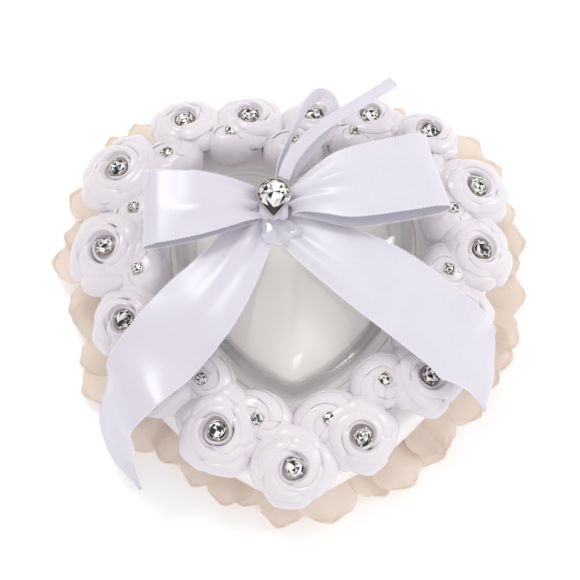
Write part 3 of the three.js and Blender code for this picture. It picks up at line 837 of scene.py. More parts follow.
# %% Set the petals round the pillow
tree, given = start_tree(
    "fringe_petals",
    ("Petals", "NodeSocketCollection"),
    ("Count", "NodeSocketInt"),
    ("Turn", "NodeSocketFloat"),
    ("Tip", "NodeSocketFloat"),
    ("Row Height", "NodeSocketFloat"),
    ("Seed", "NodeSocketInt"),
)
points = add_node(
    tree, "GeometryNodeCurveToPoints", {"Curve": given.outputs["Geometry"], "Count": given.outputs["Count"]}
)
outward = add_node(
    tree, "ShaderNodeVectorMath", {0: points.outputs["Tangent"], 1: (0, 0, 1)}, operation="CROSS_PRODUCT"
)
facing = add_node(
    tree,
    "FunctionNodeAlignRotationToVector",
    {"Vector": outward.outputs["Vector"]},
    axis="Y",
    pivot_axis="Z",
)
index = add_node(tree, "GeometryNodeInputIndex")
row = add_node(tree, "ShaderNodeMath", {0: index.outputs[0], 1: 2.0}, operation="MODULO")
minus_turn = add_node(tree, "ShaderNodeMath", {0: given.outputs["Turn"], 1: -1.0}, operation="MULTIPLY")
minus_tip = add_node(tree, "ShaderNodeMath", {0: given.outputs["Tip"], 1: -1.0}, operation="MULTIPLY")
swing_low = add_node(
    tree,
    "ShaderNodeCombineXYZ",
    {"X": minus_tip.outputs[0], "Y": minus_turn.outputs[0], "Z": minus_turn.outputs[0]},
)
swing_high = add_node(
    tree,
    "ShaderNodeCombineXYZ",
    {"X": given.outputs["Tip"], "Y": given.outputs["Turn"], "Z": given.outputs["Turn"]},
)
swing = add_node(
    tree,
    "FunctionNodeRandomValue",
    {0: swing_low.outputs[0], 1: swing_high.outputs[0], "Seed": given.outputs["Seed"]},
    data_type="FLOAT_VECTOR",
)
as_turn = add_node(tree, "FunctionNodeEulerToRotation", {0: swing.outputs[0]})
turned = add_node(
    tree,
    "FunctionNodeRotateRotation",
    {0: facing.outputs[0], 1: as_turn.outputs[0]},
    rotation_space="LOCAL",
)
kind = add_node(
    tree, "FunctionNodeRandomValue", {4: 0, 5: 2, "Seed": given.outputs["Seed"]}, data_type="INT"
)
size = add_node(
    tree, "FunctionNodeRandomValue", {2: 0.86, 3: 1.12, "Seed": given.outputs["Seed"]}, data_type="FLOAT"
)
lift = add_node(
    tree, "ShaderNodeMath", {0: row.outputs[0], 1: given.outputs["Row Height"]}, operation="MULTIPLY"
)
up = add_node(tree, "ShaderNodeCombineXYZ", {"Z": lift.outputs[0]})
raised = add_node(
    tree, "GeometryNodeSetPosition", {"Geometry": points.outputs["Points"], "Offset": up.outputs[0]}
)
leaves = add_node(
    tree,
    "GeometryNodeCollectionInfo",
    {"Collection": given.outputs["Petals"], "Separate Children": True, "Reset Children": True},
)
placed = add_node(
    tree,
    "GeometryNodeInstanceOnPoints",
    {
        "Points": raised.outputs[0],
        "Instance": leaves.outputs[0],
        "Pick Instance": True,
        "Instance Index": kind.outputs[2],
        "Rotation": turned.outputs[0],
        "Scale": size.outputs[1],
    },
)
end_tree(tree, placed.outputs[0], organza)
petal_root, petal_count, petal_row = 8.5, 42, 0.8 * MM
petal_turn, petal_tip = math.radians(15), math.radians(2)
root_line = heart_ring(pillow_heart, -petal_root, fringe_bottom + 0.5)
root_line[:, 1] += 5.5 * np.clip((-25 - root_line[:, 1]) / 35, 0, 1)  # the tip's petals are shorter
fringe = grown(
    "organza_petals",
    line_object("petal_line", [root_line], closed=True),
    tree,
    Petals=petal_kinds,
    Count=petal_count,
    Turn=petal_turn,
    Tip=petal_tip,
    **{"Row Height": petal_row, "Seed": 5},
)
for leaf in list(petal_kinds.objects):
    bpy.data.objects.remove(leaf)
bpy.data.collections.remove(petal_kinds)
settle(fringe, "pillow", organza, "fringe_organza", "petal_fringe")
print("fringe faces:", len(fringe.data.polygons))

# %% [markdown]
# ## The claws
# Four claws hold each stone. A claw is a small tapered finger that bends over the girdle. The tree
# follows a ring of four points round every stone and leans each claw towards the stone's middle.

# %% Set four claws round each stone
tree, given = start_tree("stone_claws", ("Claw", "NodeSocketObject"))
spot = add_node(tree, "GeometryNodeInputNamedAttribute", {"Name": "seat_turn"}, data_type="QUATERNION")
size = add_node(tree, "GeometryNodeInputNamedAttribute", {"Name": "seat_size"}, data_type="FLOAT")
claw = add_node(tree, "GeometryNodeObjectInfo", {"Object": given.outputs["Claw"]})
placed = add_node(
    tree,
    "GeometryNodeInstanceOnPoints",
    {
        "Points": given.outputs["Geometry"],
        "Instance": claw.outputs["Geometry"],
        "Rotation": spot.outputs[0],
        "Scale": size.outputs[0],
    },
)
end_tree(tree, placed.outputs[0], plated_metal)


def claw_shape():
    line = [
        (1.13, 0.3, 0.12), (1.15, 0.6, 0.13), (1.08, 0.78, 0.13), (0.94, 0.86, 0.12), (0.86, 0.87, 0.07)
    ]
    turns = np.arange(6) * math.pi / 3
    rows = [
        [
            (x + thick * 0.5 * math.cos(a), thick * 1.3 * math.sin(a), z + thick * 0.6 * math.cos(a))
            for a in turns
        ]
        for x, z, thick in line
    ]
    return skin("claw", rows)


def claw_carrier(name, points, turns, sizes):
    """One point for each claw, with the turn and the size that the tree reads."""
    mesh = bpy.data.meshes.new(name)
    mesh.from_pydata([tuple(point) for point in points], [], [])
    flat_turns = np.array([tuple(turn) for turn in turns]).ravel()
    mesh.attributes.new("seat_turn", "QUATERNION", "POINT").data.foreach_set("value", flat_turns)
    mesh.attributes.new("seat_size", "FLOAT", "POINT").data.foreach_set("value", sizes)
    return in_scene(name, mesh)


def claw_seats(seats):
    points, turns, sizes = [], [], []
    for seat, radius in seats:
        for k in range(4):
            spin = seat @ Matrix.Rotation(math.pi / 4 + k * math.pi / 2, 4, "Z")
            points.append(spin.translation * MM)
            turns.append(spin.to_quaternion())
            sizes.append(radius)
    return claw_carrier("claw_points", points, turns, sizes)


claw_object = claw_shape()
claws = grown("stone_claws", claw_seats(stone_seats), tree, Claw=claw_object)
settle(claws, "pillow", plated_metal, "setting_metal")
bpy.data.objects.remove(claw_object)
print("claws:", len(claws.data.polygons), "faces")

# %% [markdown]
# ## The stuffed pillow
# The satin cover is sewn to the pillow's heart and stuffed, so it swells between its seam and the edge
# of the box's recess. Cloth simulation does that: the closed shape starts a little small, is rebuilt
# with even faces, and is blown up gently with gravity off. The faces round the recess are pinned, so
# that the cloth keeps clear of the box. Foam and board are plainer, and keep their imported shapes.

# %% Sew and stuff the cover
def blend_rings(outer, inner, shares, lift=0.0):
    return [outer * (1 - s) + inner * s + np.array([0, 0, lift * math.sin(math.pi * s)]) for s in shares]


def even_faces(piece, step):
    grid = piece.modifiers.new("even_faces", "REMESH")
    grid.mode = "VOXEL"
    grid.voxel_size = step
    freeze(piece)


def freeze(piece):
    """Turns a piece's modifiers into plain mesh."""
    graph = bpy.context.evaluated_depsgraph_get()
    graph.update()
    mesh = bpy.data.meshes.new_from_object(piece.evaluated_get(graph), depsgraph=graph)
    piece.modifiers.clear()
    piece.data = mesh
    mesh.polygons.foreach_set("use_smooth", [True] * len(mesh.polygons))


def spots(mesh):
    flat = np.zeros(len(mesh.vertices) * 3)
    mesh.vertices.foreach_get("co", flat)
    return flat.reshape(-1, 3)


def stuffed(piece, step, pressure, most, held):
    """Blows the piece up as cloth. held says which points stay, and most is the furthest that one moves."""
    even_faces(piece, step)
    start = spots(piece.data)
    pins = piece.vertex_groups.new(name="pins")
    pins.add([int(i) for i in np.nonzero(held(start))[0]], 1.0, "REPLACE")
    cloth = piece.modifiers.new("stuffing", "CLOTH")
    cloth.settings.quality = 6
    cloth.settings.use_pressure = True
    cloth.settings.uniform_pressure_force = pressure
    cloth.settings.effector_weights.gravity = 0
    cloth.settings.vertex_group_mass = "pins"
    scene = bpy.context.scene
    for frame_number in range(1, 21):
        scene.frame_set(frame_number)
    freeze(piece)
    scene.frame_set(1)
    piece.vertex_groups.clear()
    move = spots(piece.data) - start
    size = np.linalg.norm(move, axis=1, keepdims=True)
    move *= np.minimum(1, most / np.maximum(size, 1e-9))
    piece.data.vertices.foreach_set("co", (start + move).ravel())
    print(piece.name, "swelled by up to", round(float(min(size.max(), most)) / MM, 1), "mm")
    finer = piece.modifiers.new("finer", "SUBSURF")
    finer.levels = finer.render_levels = 1
    freeze(piece)


side_wall = (
    (-3.4, pillow_bottom - 0.6), (-0.5, pillow_bottom - 0.6), (0.2, pillow_bottom + 0.4),
    (0.1, pillow_bottom + 4),
)
rings = [heart_ring(pillow_heart, grow, z, 144) for grow, z in side_wall]
for angle in np.linspace(0, math.pi / 2, 6):
    inset = 0.3 + 5.5 * (1 - math.cos(angle))
    rings.append(heart_ring(pillow_heart, -inset, pillow_top - 6.4 + 6.1 * math.sin(angle), 144))
edge = heart_ring(box_heart, recess_grow + 0.2, pillow_top - 0.4, 144)
rings += blend_rings(rings[-1], edge, (0.2, 0.4, 0.6, 0.8, 0.95), lift=0.4)
rings += [heart_ring(box_heart, recess_grow + 0.2, z, 144) for z in (pillow_top - 1.6, 12.5, recess_floor)]
cover = skin("satin_pillow", rings)
recess_line = heart_outline(box_heart, recess_grow, 288) * MM


def near_recess(points):
    apart = np.linalg.norm(points[:, None, :2] - recess_line[None], axis=2).min(1)
    inside = np.hypot(points[:, 0], points[:, 1]) < 0.03
    return (apart < 4.5 * MM) | inside | (points[:, 2] < (pillow_bottom + 1) * MM)


stuffed(cover, 0.0025, 4.0, 1.4 * MM, near_recess)
settle(cover, "pillow", cover_satin, "cover_satin", "satin_cover")
for node, finish in (("foam_core", foam), ("backing_board", card)):
    frame["nodes"][node].data.materials.clear()
    frame["nodes"][node].data.materials.append(finish)
print("cover faces:", len(cover.data.polygons))

# %% [markdown]
# ## The clear box
# The base and the lid are mouldings with walls of even thickness and soft corners, so each is a row of
# heart outlines taken round its wall from inside to outside. The lid's dome is a quarter wave of height
# against distance from the rim, which leaves a soft ridge from the heart's tip. A padded insert with a
# slit for the rings lies in the base.

# %% Mould the base and the lid
outside = ((-3.6, 0), (-2.4, 0.05), (-1.3, 0.5), (-0.4, 1.5), (0, 3.0), (0, 7.6), (0, 14.2))
flange = ((0.2, -1.1), (1.25, -1.1), (1.6, -0.8), (1.6, -0.3), (1.25, 0))
lip = ((-1.45, 0), (-1.55, 0.1), (-1.55, 1.05), (-1.7, 1.2), (-2.6, 1.2), (-2.75, 1.05))
inside = ((-2.75, 7.6), (-2.75, 4.0), (-3.2, 2.2), (-4.4, 1.25), (-6, 1.2))
base_wall = [(grow, box_bottom + up) for grow, up in outside]
base_wall += [(grow, box_rim + up) for grow, up in flange + lip]
base_wall += [(grow, box_bottom + up) for grow, up in inside]
base = skin("clear_base", [heart_ring(box_heart, grow, z) for grow, z in base_wall])
settle(base, "pillow", clear_plastic, "clear_plastic", "box_base")


def dome(wall, steps=26):
    rings = []
    for angle in np.linspace(0, math.pi / 2, steps):
        inset = wall + (lid_reach - wall) * (1 - math.cos(angle))
        rings.append(
            heart_ring(box_heart, -inset, lid_bottom + lid_flange + (lid_dome - wall) * math.sin(angle))
        )
    return rings


flange_top = lid_bottom + lid_flange
lid_edge = [(-1.1, lid_bottom + 0.1), (-1.0, lid_bottom), (1.25, lid_bottom), (1.6, lid_bottom + 0.3)]
lid_edge += [(1.6, flange_top - 0.35), (1.25, flange_top), (0.2, flange_top)]
lid_wall = dome(1.1)[::-1] + [heart_ring(box_heart, grow, z) for grow, z in lid_edge] + dome(0.0)
lid = skin("clear_lid", lid_wall)
settle(lid, "lid", clear_plastic, "clear_plastic", "box_lid")
print("base and lid:", len(base.data.polygons) + len(lid.data.polygons), "faces")

# %% Stuff the ring insert
rings = [
    heart_ring(box_heart, grow, z, 144)
    for grow, z in (
        (-5.2, 10.0), (-3.8, 10.8), (-3.4, 12.6), (-3.5, 14.2), (-4.6, 15.1), (-8, 15.4), (-13, 15.5)
    )
]
insert = skin("ring_insert", rings)
stuffed(insert, 0.003, 2.0, 0.5 * MM, lambda points: points[:, 2] < 11 * MM)
points = spots(insert.data)
on_top = (np.abs(points[:, 1]) < 24 * MM) * (points[:, 2] > 13 * MM)
slit = np.exp(-((points[:, 0] / (1.1 * MM)) ** 2)) * on_top
points[:, 2] -= 1.2 * MM * slit
insert.data.vertices.foreach_set("co", points.ravel())
settle(insert, "pillow", lining_satin, "lining_satin", "ring_pad")
print("insert faces:", len(insert.data.polygons))

# %% [markdown]
# ## The bow
# One 25 mm satin ribbon makes each loop and each tail. A ribbon is a thin strip that follows a smooth
# line, with a width and a roll at each of a few stations. Near the knot it is gathered, so its section
# is pleated there and flattens as it widens. Its cloth map runs along it in real millimetres.

# %% Sweep a ribbon through stations
def smooth_line(stations, count):
    """A centripetal Catmull-Rom line through stations whose first three numbers are a place."""
    p = np.asarray(stations, float)
    p = np.vstack([2 * p[0] - p[1], p, 2 * p[-1] - p[-2]])
    knots = np.concatenate([[0], np.cumsum(np.linalg.norm(np.diff(p[:, :3], axis=0), axis=1) ** 0.5)])
    found = []
    for i in range(1, len(p) - 2):
        t = np.linspace(knots[i], knots[i + 1], 24, endpoint=i == len(p) - 3)[:, None]
        k = knots[i - 1 : i + 3]
        a = [p[i - 1 + j] + (p[i + j] - p[i - 1 + j]) * (t - k[j]) / (k[j + 1] - k[j]) for j in range(3)]
        b = [a[j] + (a[j + 1] - a[j]) * (t - k[j]) / (k[j + 2] - k[j]) for j in range(2)]
        found.append(b[0] + (b[1] - b[0]) * (t - k[1]) / (k[2] - k[1]))
    line = np.vstack(found)
    steps = np.linalg.norm(np.diff(line[:, :3], axis=0), axis=1)
    along = np.concatenate([[0], np.cumsum(steps)])
    wanted = np.linspace(0, along[-1], count)
    return np.stack([np.interp(wanted, along, line[:, k]) for k in range(line.shape[1])], 1)


def unit(vectors):
    return vectors / np.linalg.norm(vectors, axis=-1, keepdims=True)


def ribbon(name, line, across, width, waves, thick=0.22, real_width=ribbon_width):
    """A thin closed strip. It returns the piece and its two edges, for stitches to follow."""
    along = unit(np.gradient(line, axis=0))
    across = unit(across - along * (across * along).sum(1, keepdims=True))
    up = np.cross(along, across)
    sides = waves.shape[1]
    u = np.linspace(-0.5, 0.5, sides)
    spread = (u[None, :] * width[:, None])[..., None]
    middle = line[:, None] + across[:, None] * spread + up[:, None] * waves[..., None]
    half = up[:, None] * thick / 2
    rows = np.concatenate([middle - half, (middle + half)[:, ::-1]], 1)
    length = np.concatenate([[0], np.cumsum(np.linalg.norm(np.diff(line, axis=0), axis=1))])
    over = np.concatenate([u, u[::-1], u[:1]]) * real_width
    cloth = np.stack(np.broadcast_arrays(over[None, :], length[:, None]), -1)
    piece = skin(name, rows, cloth=cloth)
    return piece, [middle[:, 0] + half[:, 0], middle[:, -1] + half[:, 0]], length[-1]


def gathers(distance, sides, depth, reach, pleats, phase):
    """Pleats across a ribbon that fade with distance from the knot."""
    u = np.linspace(-0.5, 0.5, sides)[None, :]
    fade = np.exp(-distance / reach)[:, None]
    broad = np.cos(2 * math.pi * (pleats * u + phase))
    fine = np.sin(2 * math.pi * (1.7 * pleats * u + phase * 2))
    return depth * fade * (broad + 0.4 * fine)


print("ribbons can be swept")

# %% Fold the two loops
x, y = knot
loop_low, loop_high = tail_bottom + 3.2, tail_bottom + 9.4


def loop_ribbon(name, reach, rise, lean, widths, phase, drop):
    """A loop leaves the knot on top, folds at its end and comes back underneath."""
    heading = math.atan2(rise, reach)
    way = np.array([math.cos(heading), math.sin(heading), 0])
    side = np.array([-math.sin(heading), math.cos(heading), 0])
    hand = 1 if reach > 0 else -1
    far = math.hypot(reach, rise)
    start = np.array([x, y, 0])
    stations = []
    for out, z, shift in (
        (5.0, waist_z + 0.8, 0), (8.0, waist_z + 2.6, 0), (14.0, loop_high - 1.0, 0), (22.0, loop_high, 0),
        (far - 12, loop_high, 0), (far - 3.0, loop_high - 0.8, 0), (far, (loop_low + loop_high) / 2, 0.4),
        (far - 3.0, loop_low + 0.6, 0.9), (far - 12, loop_low, 1.3), (22.0, loop_low, 1.4),
        (13.0, loop_low, 0.8), (5.0, waist_z - 0.8, 0),
    ):
        place = start + way * out + np.array([0, -drop * shift, z])
        stations.append([*place, np.interp(out, *widths), out])
    data = smooth_line(stations, 110)
    line, width, out = data[:, :3], data[:, 3], data[:, 4]
    turn = np.clip((out - 8) / (far - 8), 0, 1)[:, None]
    across = side + hand * lean * turn * way
    sides = 33
    waves = gathers(out - 5, sides, 1.1, 7.5, 2.3, phase)
    u = np.linspace(-0.5, 0.5, sides)[None, :]
    top = (np.arange(110) < 52)[:, None]
    streak = 0.9 * np.exp(-(((out - 20)[:, None] / 9) ** 2)) * np.exp(-(((u - 0.12) / 0.13) ** 2)) * top
    belly = 0.35 * (1 - 4 * u**2) * np.clip((out - 8) / 20, 0, 1)[:, None] * top
    return ribbon(name, line, across, width, waves + streak + belly)


left_loop, left_edges, left_length = loop_ribbon(
    "left_loop", -40.0, -3.2, -0.04, ([5, 8, 14, 22, 30, 38], [9.5, 12, 16.5, 21, 23.5, 25]), 0.1, -0.9
)
settle(left_loop, "lid", ribbon_satin, "ribbon_satin", "bow_loops")
right_loop, right_edges, right_length = loop_ribbon(
    "right_loop", 51.0, 10.5, -0.08, ([5, 10, 16, 22, 30, 50], [8.5, 11.5, 18, 22.5, 25, 25.5]), 0.35, 0.3
)
settle(right_loop, "lid", sparkle_satin, "ribbon_satin", "bow_loops")
print("loop ribbons, mm:", round(left_length), "and", round(right_length))

# %% Drape the two tails
def past_edge(heading, out):
    """A point that lies past the pillow's edge on a line from the knot."""
    way = np.array([math.cos(math.radians(heading)), math.sin(math.radians(heading))])
    edge = heart_outline(pillow_heart)
    ahead = np.roll(edge, -1, axis=0) - edge
    offset = edge - knot
    turn = way[0] * ahead[:, 1] - way[1] * ahead[:, 0]
    share = (offset[:, 0] * way[1] - offset[:, 1] * way[0]) / turn
    reach = (offset[:, 0] * ahead[:, 1] - offset[:, 1] * ahead[:, 0]) / turn
    best = reach[(share >= 0) & (share < 1)].max()
    return knot + way * (best + out)


def tail_ribbon(name, stations, phase, cut, long_side):
    """A tail over the roses. Its last stretch narrows to a slanting cut that leaves long_side longer."""
    data = smooth_line(stations, 120)
    line, width, roll = data[:, :3], data[:, 3], np.radians(data[:, 4])
    along = unit(np.gradient(line, axis=0))
    level = unit(np.stack([-along[:, 1], along[:, 0], np.zeros(len(along))], 1))
    upward = np.cross(along, level)
    across = level * np.cos(roll)[:, None] + upward * np.sin(roll)[:, None]
    distance = np.linalg.norm(line - line[0], axis=1)
    sides = 33
    u = np.linspace(-0.5, 0.5, sides)[None, :]
    waves = gathers(distance, sides, 1.15, 14, 1.9, phase)
    waves = waves + 0.8 * (1 - 4 * u**2) * np.clip(distance / 20, 0, 1)[:, None]
    length = np.linspace(0, 1, 120)
    point = np.clip((1 - length) / cut, 0.05, 1)
    width = width * point
    line = line + across * (0.5 * ribbon_width * (1 - point) * long_side * 0.3)[:, None]
    return ribbon(name, line, across, width, waves)


under, draped = tail_bottom + 0.6, rose_crown + 3.0
left_heading, right_heading = -126, -37  # degrees, turned from +X
left_tail, left_tail_edges, left_tail_length = tail_ribbon(
    "left_tail",
    [
        [x - 1.5, y - 1, under + 0.4, 9, 0],
        [x - 6.5, y - 8, under + 0.9, 14, 0],
        [*past_edge(left_heading + 3, -38), under + 2.2, 21, 2],
        [*past_edge(left_heading + 2, -26), under + 1.8, 25, 4],
        [*past_edge(left_heading, -8.5), draped + 0.5, 25, 0],
        [*past_edge(left_heading - 1, 6), draped - 2, 23, 20],
        [*past_edge(left_heading - 0.5, 14), draped * 0.66, 20, 48],
        [*past_edge(left_heading + 3, 18), draped * 0.4, 17, 62],
        [*past_edge(left_heading + 10, 19), 5, 13, 66],
    ],
    0.2,
    0.2,
    -1,
)
settle(left_tail, "lid", ribbon_satin, "ribbon_satin", "bow_tails")
right_tail, right_tail_edges, right_tail_length = tail_ribbon(
    "right_tail",
    [
        [x + 1.5, y - 1, under + 0.2, 9, 0],
        [x + 8.0, y - 7, under + 0.7, 15, 0],
        [*past_edge(right_heading - 1, -42), under + 2.0, 22, 0],
        [*past_edge(right_heading, -30), under + 1.6, 25, -2],
        [*past_edge(right_heading, -13), draped + 1.2, 25, 0],
        [*past_edge(right_heading - 1, -1), draped, 25, -6],
        [*past_edge(right_heading - 4, 8), draped - 5, 23, -30],
        [*past_edge(right_heading - 8, 14), draped - 14, 17, -44],
    ],
    0.6,
    0.22,
    1,
)
settle(right_tail, "lid", sparkle_satin, "ribbon_satin", "bow_tails")
print("tail ribbons, mm:", round(left_tail_length), "and", round(right_tail_length))

# %% [markdown]
# ## The knot
# A short length of the same ribbon is wrapped once round the waist between the loops, and its cloth
# bunches into ridges. So the knot is a flattened tube along the bow, with a ridged section.

# %% Wrap the knot
rows = []
for angle in np.linspace(0, 2 * math.pi, 56, endpoint=False):
    across = np.linspace(-1, 1, 25)
    squash = np.array([0, math.cos(angle) * knot_width * 0.42, math.sin(angle) * knot_height / 2])
    ridge = 0.3 * np.cos(across * math.pi * 3.2 + 0.5 * math.sin(angle)) + 0.5 * (1 - across**2)
    grow = 1 + (ridge - 0.3) / 6
    outer = np.stack([x + across * knot_length * 0.44, y + squash[1] * grow, waist_z + squash[2] * grow], 1)
    flat = np.ones(25)
    inside_x = x + across * (knot_length * 0.44 - 0.2)
    inner = np.stack([inside_x, y + squash[1] * 0.78 * flat, waist_z + squash[2] * 0.62 * flat], 1)
    rows.append(np.concatenate([outer, inner[::-1]]))
wrap = skin("knot_wrap", rows, loop=True)
settle(wrap, "lid", ribbon_satin, "ribbon_satin", "bow_knot")
print("knot faces:", len(wrap.data.polygons))

# %% [markdown]
# ## The pear crystal
# The pear-cut crystal is glued to the knot in a plated setting. Its outline is a round head with a point
# below, and its crown rises through two rows of facets to a flat table. Claws hold it round the girdle,
# and a bead of clear glue shows beneath it.

# %% Cut the crystal and its setting
pear_height, pear_head = 13.0, 5.0


def pear_outline(grow, count):
    """A round head whose two tangents meet in a point."""
    head, reach = pear_head, pear_height - pear_head
    head_y = pear_height / 2 - head
    start = math.asin(head / reach)
    angles = np.linspace(-start, math.pi + start, count - 1)
    round_part = np.stack([(head + grow) * np.cos(angles), head_y + (head + grow) * np.sin(angles)], 1)
    return np.vstack([[0, -pear_height / 2 - grow * 1.3], round_part])


def pear_ring(scale, z, count=14, grow=0.0, shift=0.0):
    outline = pear_outline(grow, count)
    if shift:
        outline = outline * (1 - shift) + np.roll(outline, -1, axis=0) * shift
    return np.column_stack([x + outline[:, 0] * scale, y + outline[:, 1] * scale, np.full(len(outline), z)])


random = np.random.default_rng(31)
levels = [
    (0.3, -1.0, 0.0), (0.62, 0.1, 0.5), (0.94, 1.3, 0.0), (0.96, 1.75, 0.0), (0.82, 3.0, 0.5),
    (0.66, 3.9, 0.0), (0.42, 4.4, 0.5),
]
rows = [pear_ring(scale, crystal_bottom + z, shift=shift) for scale, z, shift in levels]
pear = skin("pear_stone", rows, smooth=False)
cut_corners(pear)
# the pear's facets get painted reflection colours too
paint_facet_reflections(pear, random, (0.3, 0.2, 0.12, 0.12, 0.08, 0.1, 0.08))
settle(pear, "lid", crystal, "crystal", "pear_crystal")
rim = [(0.94, 0.9), (1.04, 0.9), (1.07, 1.3), (1.05, 1.8), (0.99, 1.95), (0.97, 1.7), (0.97, 1.2)]
rows = [pear_ring(scale, crystal_bottom + z, 40) for scale, z in rim]
setting = skin("pear_setting", np.array(rows)[::-1], loop=True)
settle(setting, "lid", plated_metal, "setting_metal")
print("crystal facets:", len(pear.data.polygons))

# %% Hold the crystal with claws, and set its bead of glue
tree = bpy.data.node_groups["stone_claws"]
seats = []
for point in pear_outline(0.0, 25)[:21:4]:
    at_tip = point[1] < -6
    seats.append((point, -math.pi / 2 if at_tip else math.atan2(point[1] - 0.5, point[0])))
size = 1.35
centres = []
for point, heading in seats:
    claw_x = x + point[0] - size * math.cos(heading)
    claw_y = y + point[1] - size * math.sin(heading)
    centres.append(Vector((claw_x, claw_y, crystal_bottom + 0.85)) * MM)
turns = [Matrix.Rotation(heading, 3, "Z").to_quaternion() for _, heading in seats]
claw_object = claw_shape()
carrier = claw_carrier("pear_points", centres, turns, [size] * len(seats))
pear_claws = grown("pear_claws", carrier, tree, Claw=claw_object)
bpy.data.objects.remove(claw_object)
settle(pear_claws, "lid", plated_metal, "setting_metal")
turns = np.linspace(0, 2 * math.pi, 40, endpoint=False)
rows = []
for level in np.linspace(0.06, 0.94, 12):
    wide, high = math.sin(math.pi * level) ** 0.7, 1 - math.cos(math.pi * level)
    lump = 1 + 0.13 * np.sin(3 * turns + 1) + 0.08 * np.sin(5 * turns + 4 * level)
    bead_x = x + 1.5 + 6.2 * wide * lump * np.cos(turns)
    bead_y = y - 8.5 + 4.6 * wide * lump * np.sin(turns)
    rows.append(np.stack([bead_x, bead_y, np.full(40, tail_bottom + 1.4 + 1.5 * high)], 1))
bead = skin("glue_bead", rows)
settle(bead, "lid", clear_glue, "clear_plastic")
print("claws round the crystal:", len(seats))

# %% [markdown]
# ## Selvage stitches
# Both edges of a satin ribbon are woven back on themselves, which shows as a line of tiny white loops
# about 0.8 mm apart. The tree walks each ribbon edge and sets one small bead of thread at every step,
# turned to lie across the edge.

# %% Stitch the ribbon edges
tree, given = start_tree("edge_stitches", ("Stitch", "NodeSocketObject"), ("Step", "NodeSocketFloat"))
walk = add_node(
    tree,
    "GeometryNodeCurveToPoints",
    {"Curve": given.outputs["Geometry"], "Length": given.outputs["Step"]},
    mode="LENGTH",
)
bead_shape = add_node(tree, "GeometryNodeObjectInfo", {"Object": given.outputs["Stitch"]})
facing = add_node(tree, "FunctionNodeAlignRotationToVector", {"Vector": walk.outputs["Tangent"]}, axis="X")
placed = add_node(
    tree,
    "GeometryNodeInstanceOnPoints",
    {
        "Points": walk.outputs["Points"],
        "Instance": bead_shape.outputs["Geometry"],
        "Rotation": facing.outputs[0],
    },
)
end_tree(tree, placed.outputs[0], thread)
turns = np.arange(6) * math.pi / 3
rows = [
    np.stack([np.full(6, along), across * np.cos(turns), 0.17 * across / 0.34 * np.sin(turns)], 1)
    for along, across in ((-0.24, 0.12), (-0.14, 0.34), (0.14, 0.34), (0.24, 0.12))
]
stitch = skin("stitch", np.array(rows))
lines = left_edges + right_edges + left_tail_edges + right_tail_edges
stitches = grown("selvage_stitches", line_object("edge_lines", lines), tree, Stitch=stitch, Step=0.8 * MM)
bpy.data.objects.remove(stitch)
settle(stitches, "lid", thread, "ribbon_satin")
print("stitch faces:", len(stitches.data.polygons))

# %% [markdown]
# ## The narrow ribbon
# A 4 mm ribbon is caught under the bow: one length makes a small loop, and the other lies loose with a
# square-cut end. The rings are tied to it. Each is a cord whose width is the ribbon's, and follows the
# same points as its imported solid, turning from edge-on to face-on as it goes.

# %% Lay the narrow ribbon
tie_loop_route = [
    [-5, 22.8, 40.4], [-4.2, 29, 41.6], [-1.2, 37, 43.4], [2, 44, 45], [5, 49.4, 46], [8.6, 52.2, 46.2],
    [12, 50, 45.8], [12.4, 45, 44.7], [9, 39, 43.2], [4, 33, 41.8], [0, 28, 40.8], [-2.4, 24, 40.2],
]
tie_tail_route = [
    [-3, 23.8, 43.4], [-0.6, 29.5, 45.2], [5, 36.4, 46.8], [12, 42.2, 47.4], [19, 47.2, 47],
    [25.5, 52.2, 46.1], [32, 57.5, 45.3],
]


def narrow_ribbon(name, route, rolls, count):
    data = smooth_line([[*point, roll] for point, roll in zip(route, rolls)], count)
    line, roll = data[:, :3], np.radians(data[:, 3])
    along = unit(np.gradient(line, axis=0))
    level = unit(np.stack([-along[:, 1], along[:, 0], np.zeros(len(along))], 1))
    across = level * np.cos(roll)[:, None] + np.cross(along, level) * np.sin(roll)[:, None]
    u = np.linspace(-0.5, 0.5, 21)[None, :]
    ribs = np.repeat(0.09 * np.cos(2 * math.pi * 5 * u), count, 0)
    piece, _, length = ribbon(name, line, across, np.full(count, 4.0), ribs, 0.3, 4.0)
    settle(piece, "lid", sparkle_satin, "tie_ribbon")
    path = (line * MM).tolist()
    return piece, path, length * MM


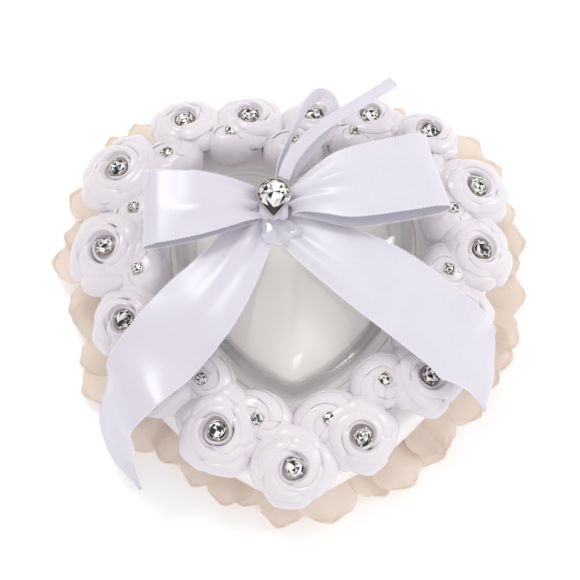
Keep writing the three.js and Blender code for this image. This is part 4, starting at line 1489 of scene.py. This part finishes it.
tie_loop, path, length = narrow_ribbon(
    "narrow_loop", tie_loop_route, [70, 75, 78, 75, 60, 40, 10, 0, 0, 0, 0, 0], 120
)
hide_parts("ring_tie_loop")
print("narrow loop, mm:", round(length / MM, 1))
tie_tail, path, length = narrow_ribbon("narrow_tail", tie_tail_route, [20, 10, 0, 0, 0, 0, 0], 90)
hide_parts("ring_tie_tail")
print("narrow tail, mm:", round(length / MM, 1))

# %% [markdown]
# ## Light, floor and the end
# The studio is plain: a pale floor that runs out of sight, a white surround for soft shade, one lamp
# behind and to the left that draws the highlights on satin and on the clear lid, a broad fill from the
# front, and a tall one on the right for the bright streak along the dome.

# %% Light the studio
bpy.context.scene.view_settings.view_transform = "Standard"
world = bpy.data.worlds.new("studio")
world.use_nodes = True
world.node_tree.nodes["Background"].inputs["Color"].default_value = linear("#fffdfc")
world.node_tree.nodes["Background"].inputs["Strength"].default_value = 0.78
bpy.context.scene.world = world


def lamp(name, place, wide, power, colour="#ffffff"):
    light = bpy.data.lights.new(name, "AREA")
    light.shape = "RECTANGLE"
    light.size, light.size_y = wide
    light.energy = power
    light.color = linear(colour)[:3]
    stand = in_scene(name, light)
    stand.location = place
    stand.rotation_euler = (Vector((0, 0, 0.02)) - Vector(place)).to_track_quat("-Z", "Y").to_euler()


lamp("back_left", (-0.3, 0.55, 1.0), (0.35, 0.22), 2.6)
lamp("front_fill", (0.2, -0.9, 0.8), (0.9, 0.5), 1.7)
lamp("right_streak", (0.85, 0.2, 0.45), (0.2, 0.5), 1.6)
print("three lamps")

# %% Lay the floor
floor_half = 3.0
floor_corners = [[-1, -1, 0], [1, -1, 0], [1, 1, 0], [-1, 1, 0]]
mesh = bpy.data.meshes.new("floor")
mesh.from_pydata((np.array(floor_corners) * floor_half).tolist(), [], [(0, 1, 2, 3)])
floor = in_scene("floor", mesh)
floor_finish = grainy("pale_floor", "#fdfdfd", "#fbfbfc", 40.0, 0.9, 0.00001)
floor.data.materials.append(floor_finish)
floor_shader = next(n for n in floor_finish.node_tree.nodes if n.type == "BSDF_PRINCIPLED")
floor_shader.inputs["Emission Color"].default_value = linear("#ffffff")
floor_shader.inputs["Emission Strength"].default_value = 0.16
floor.location.z = -0.0003
print("floor laid")
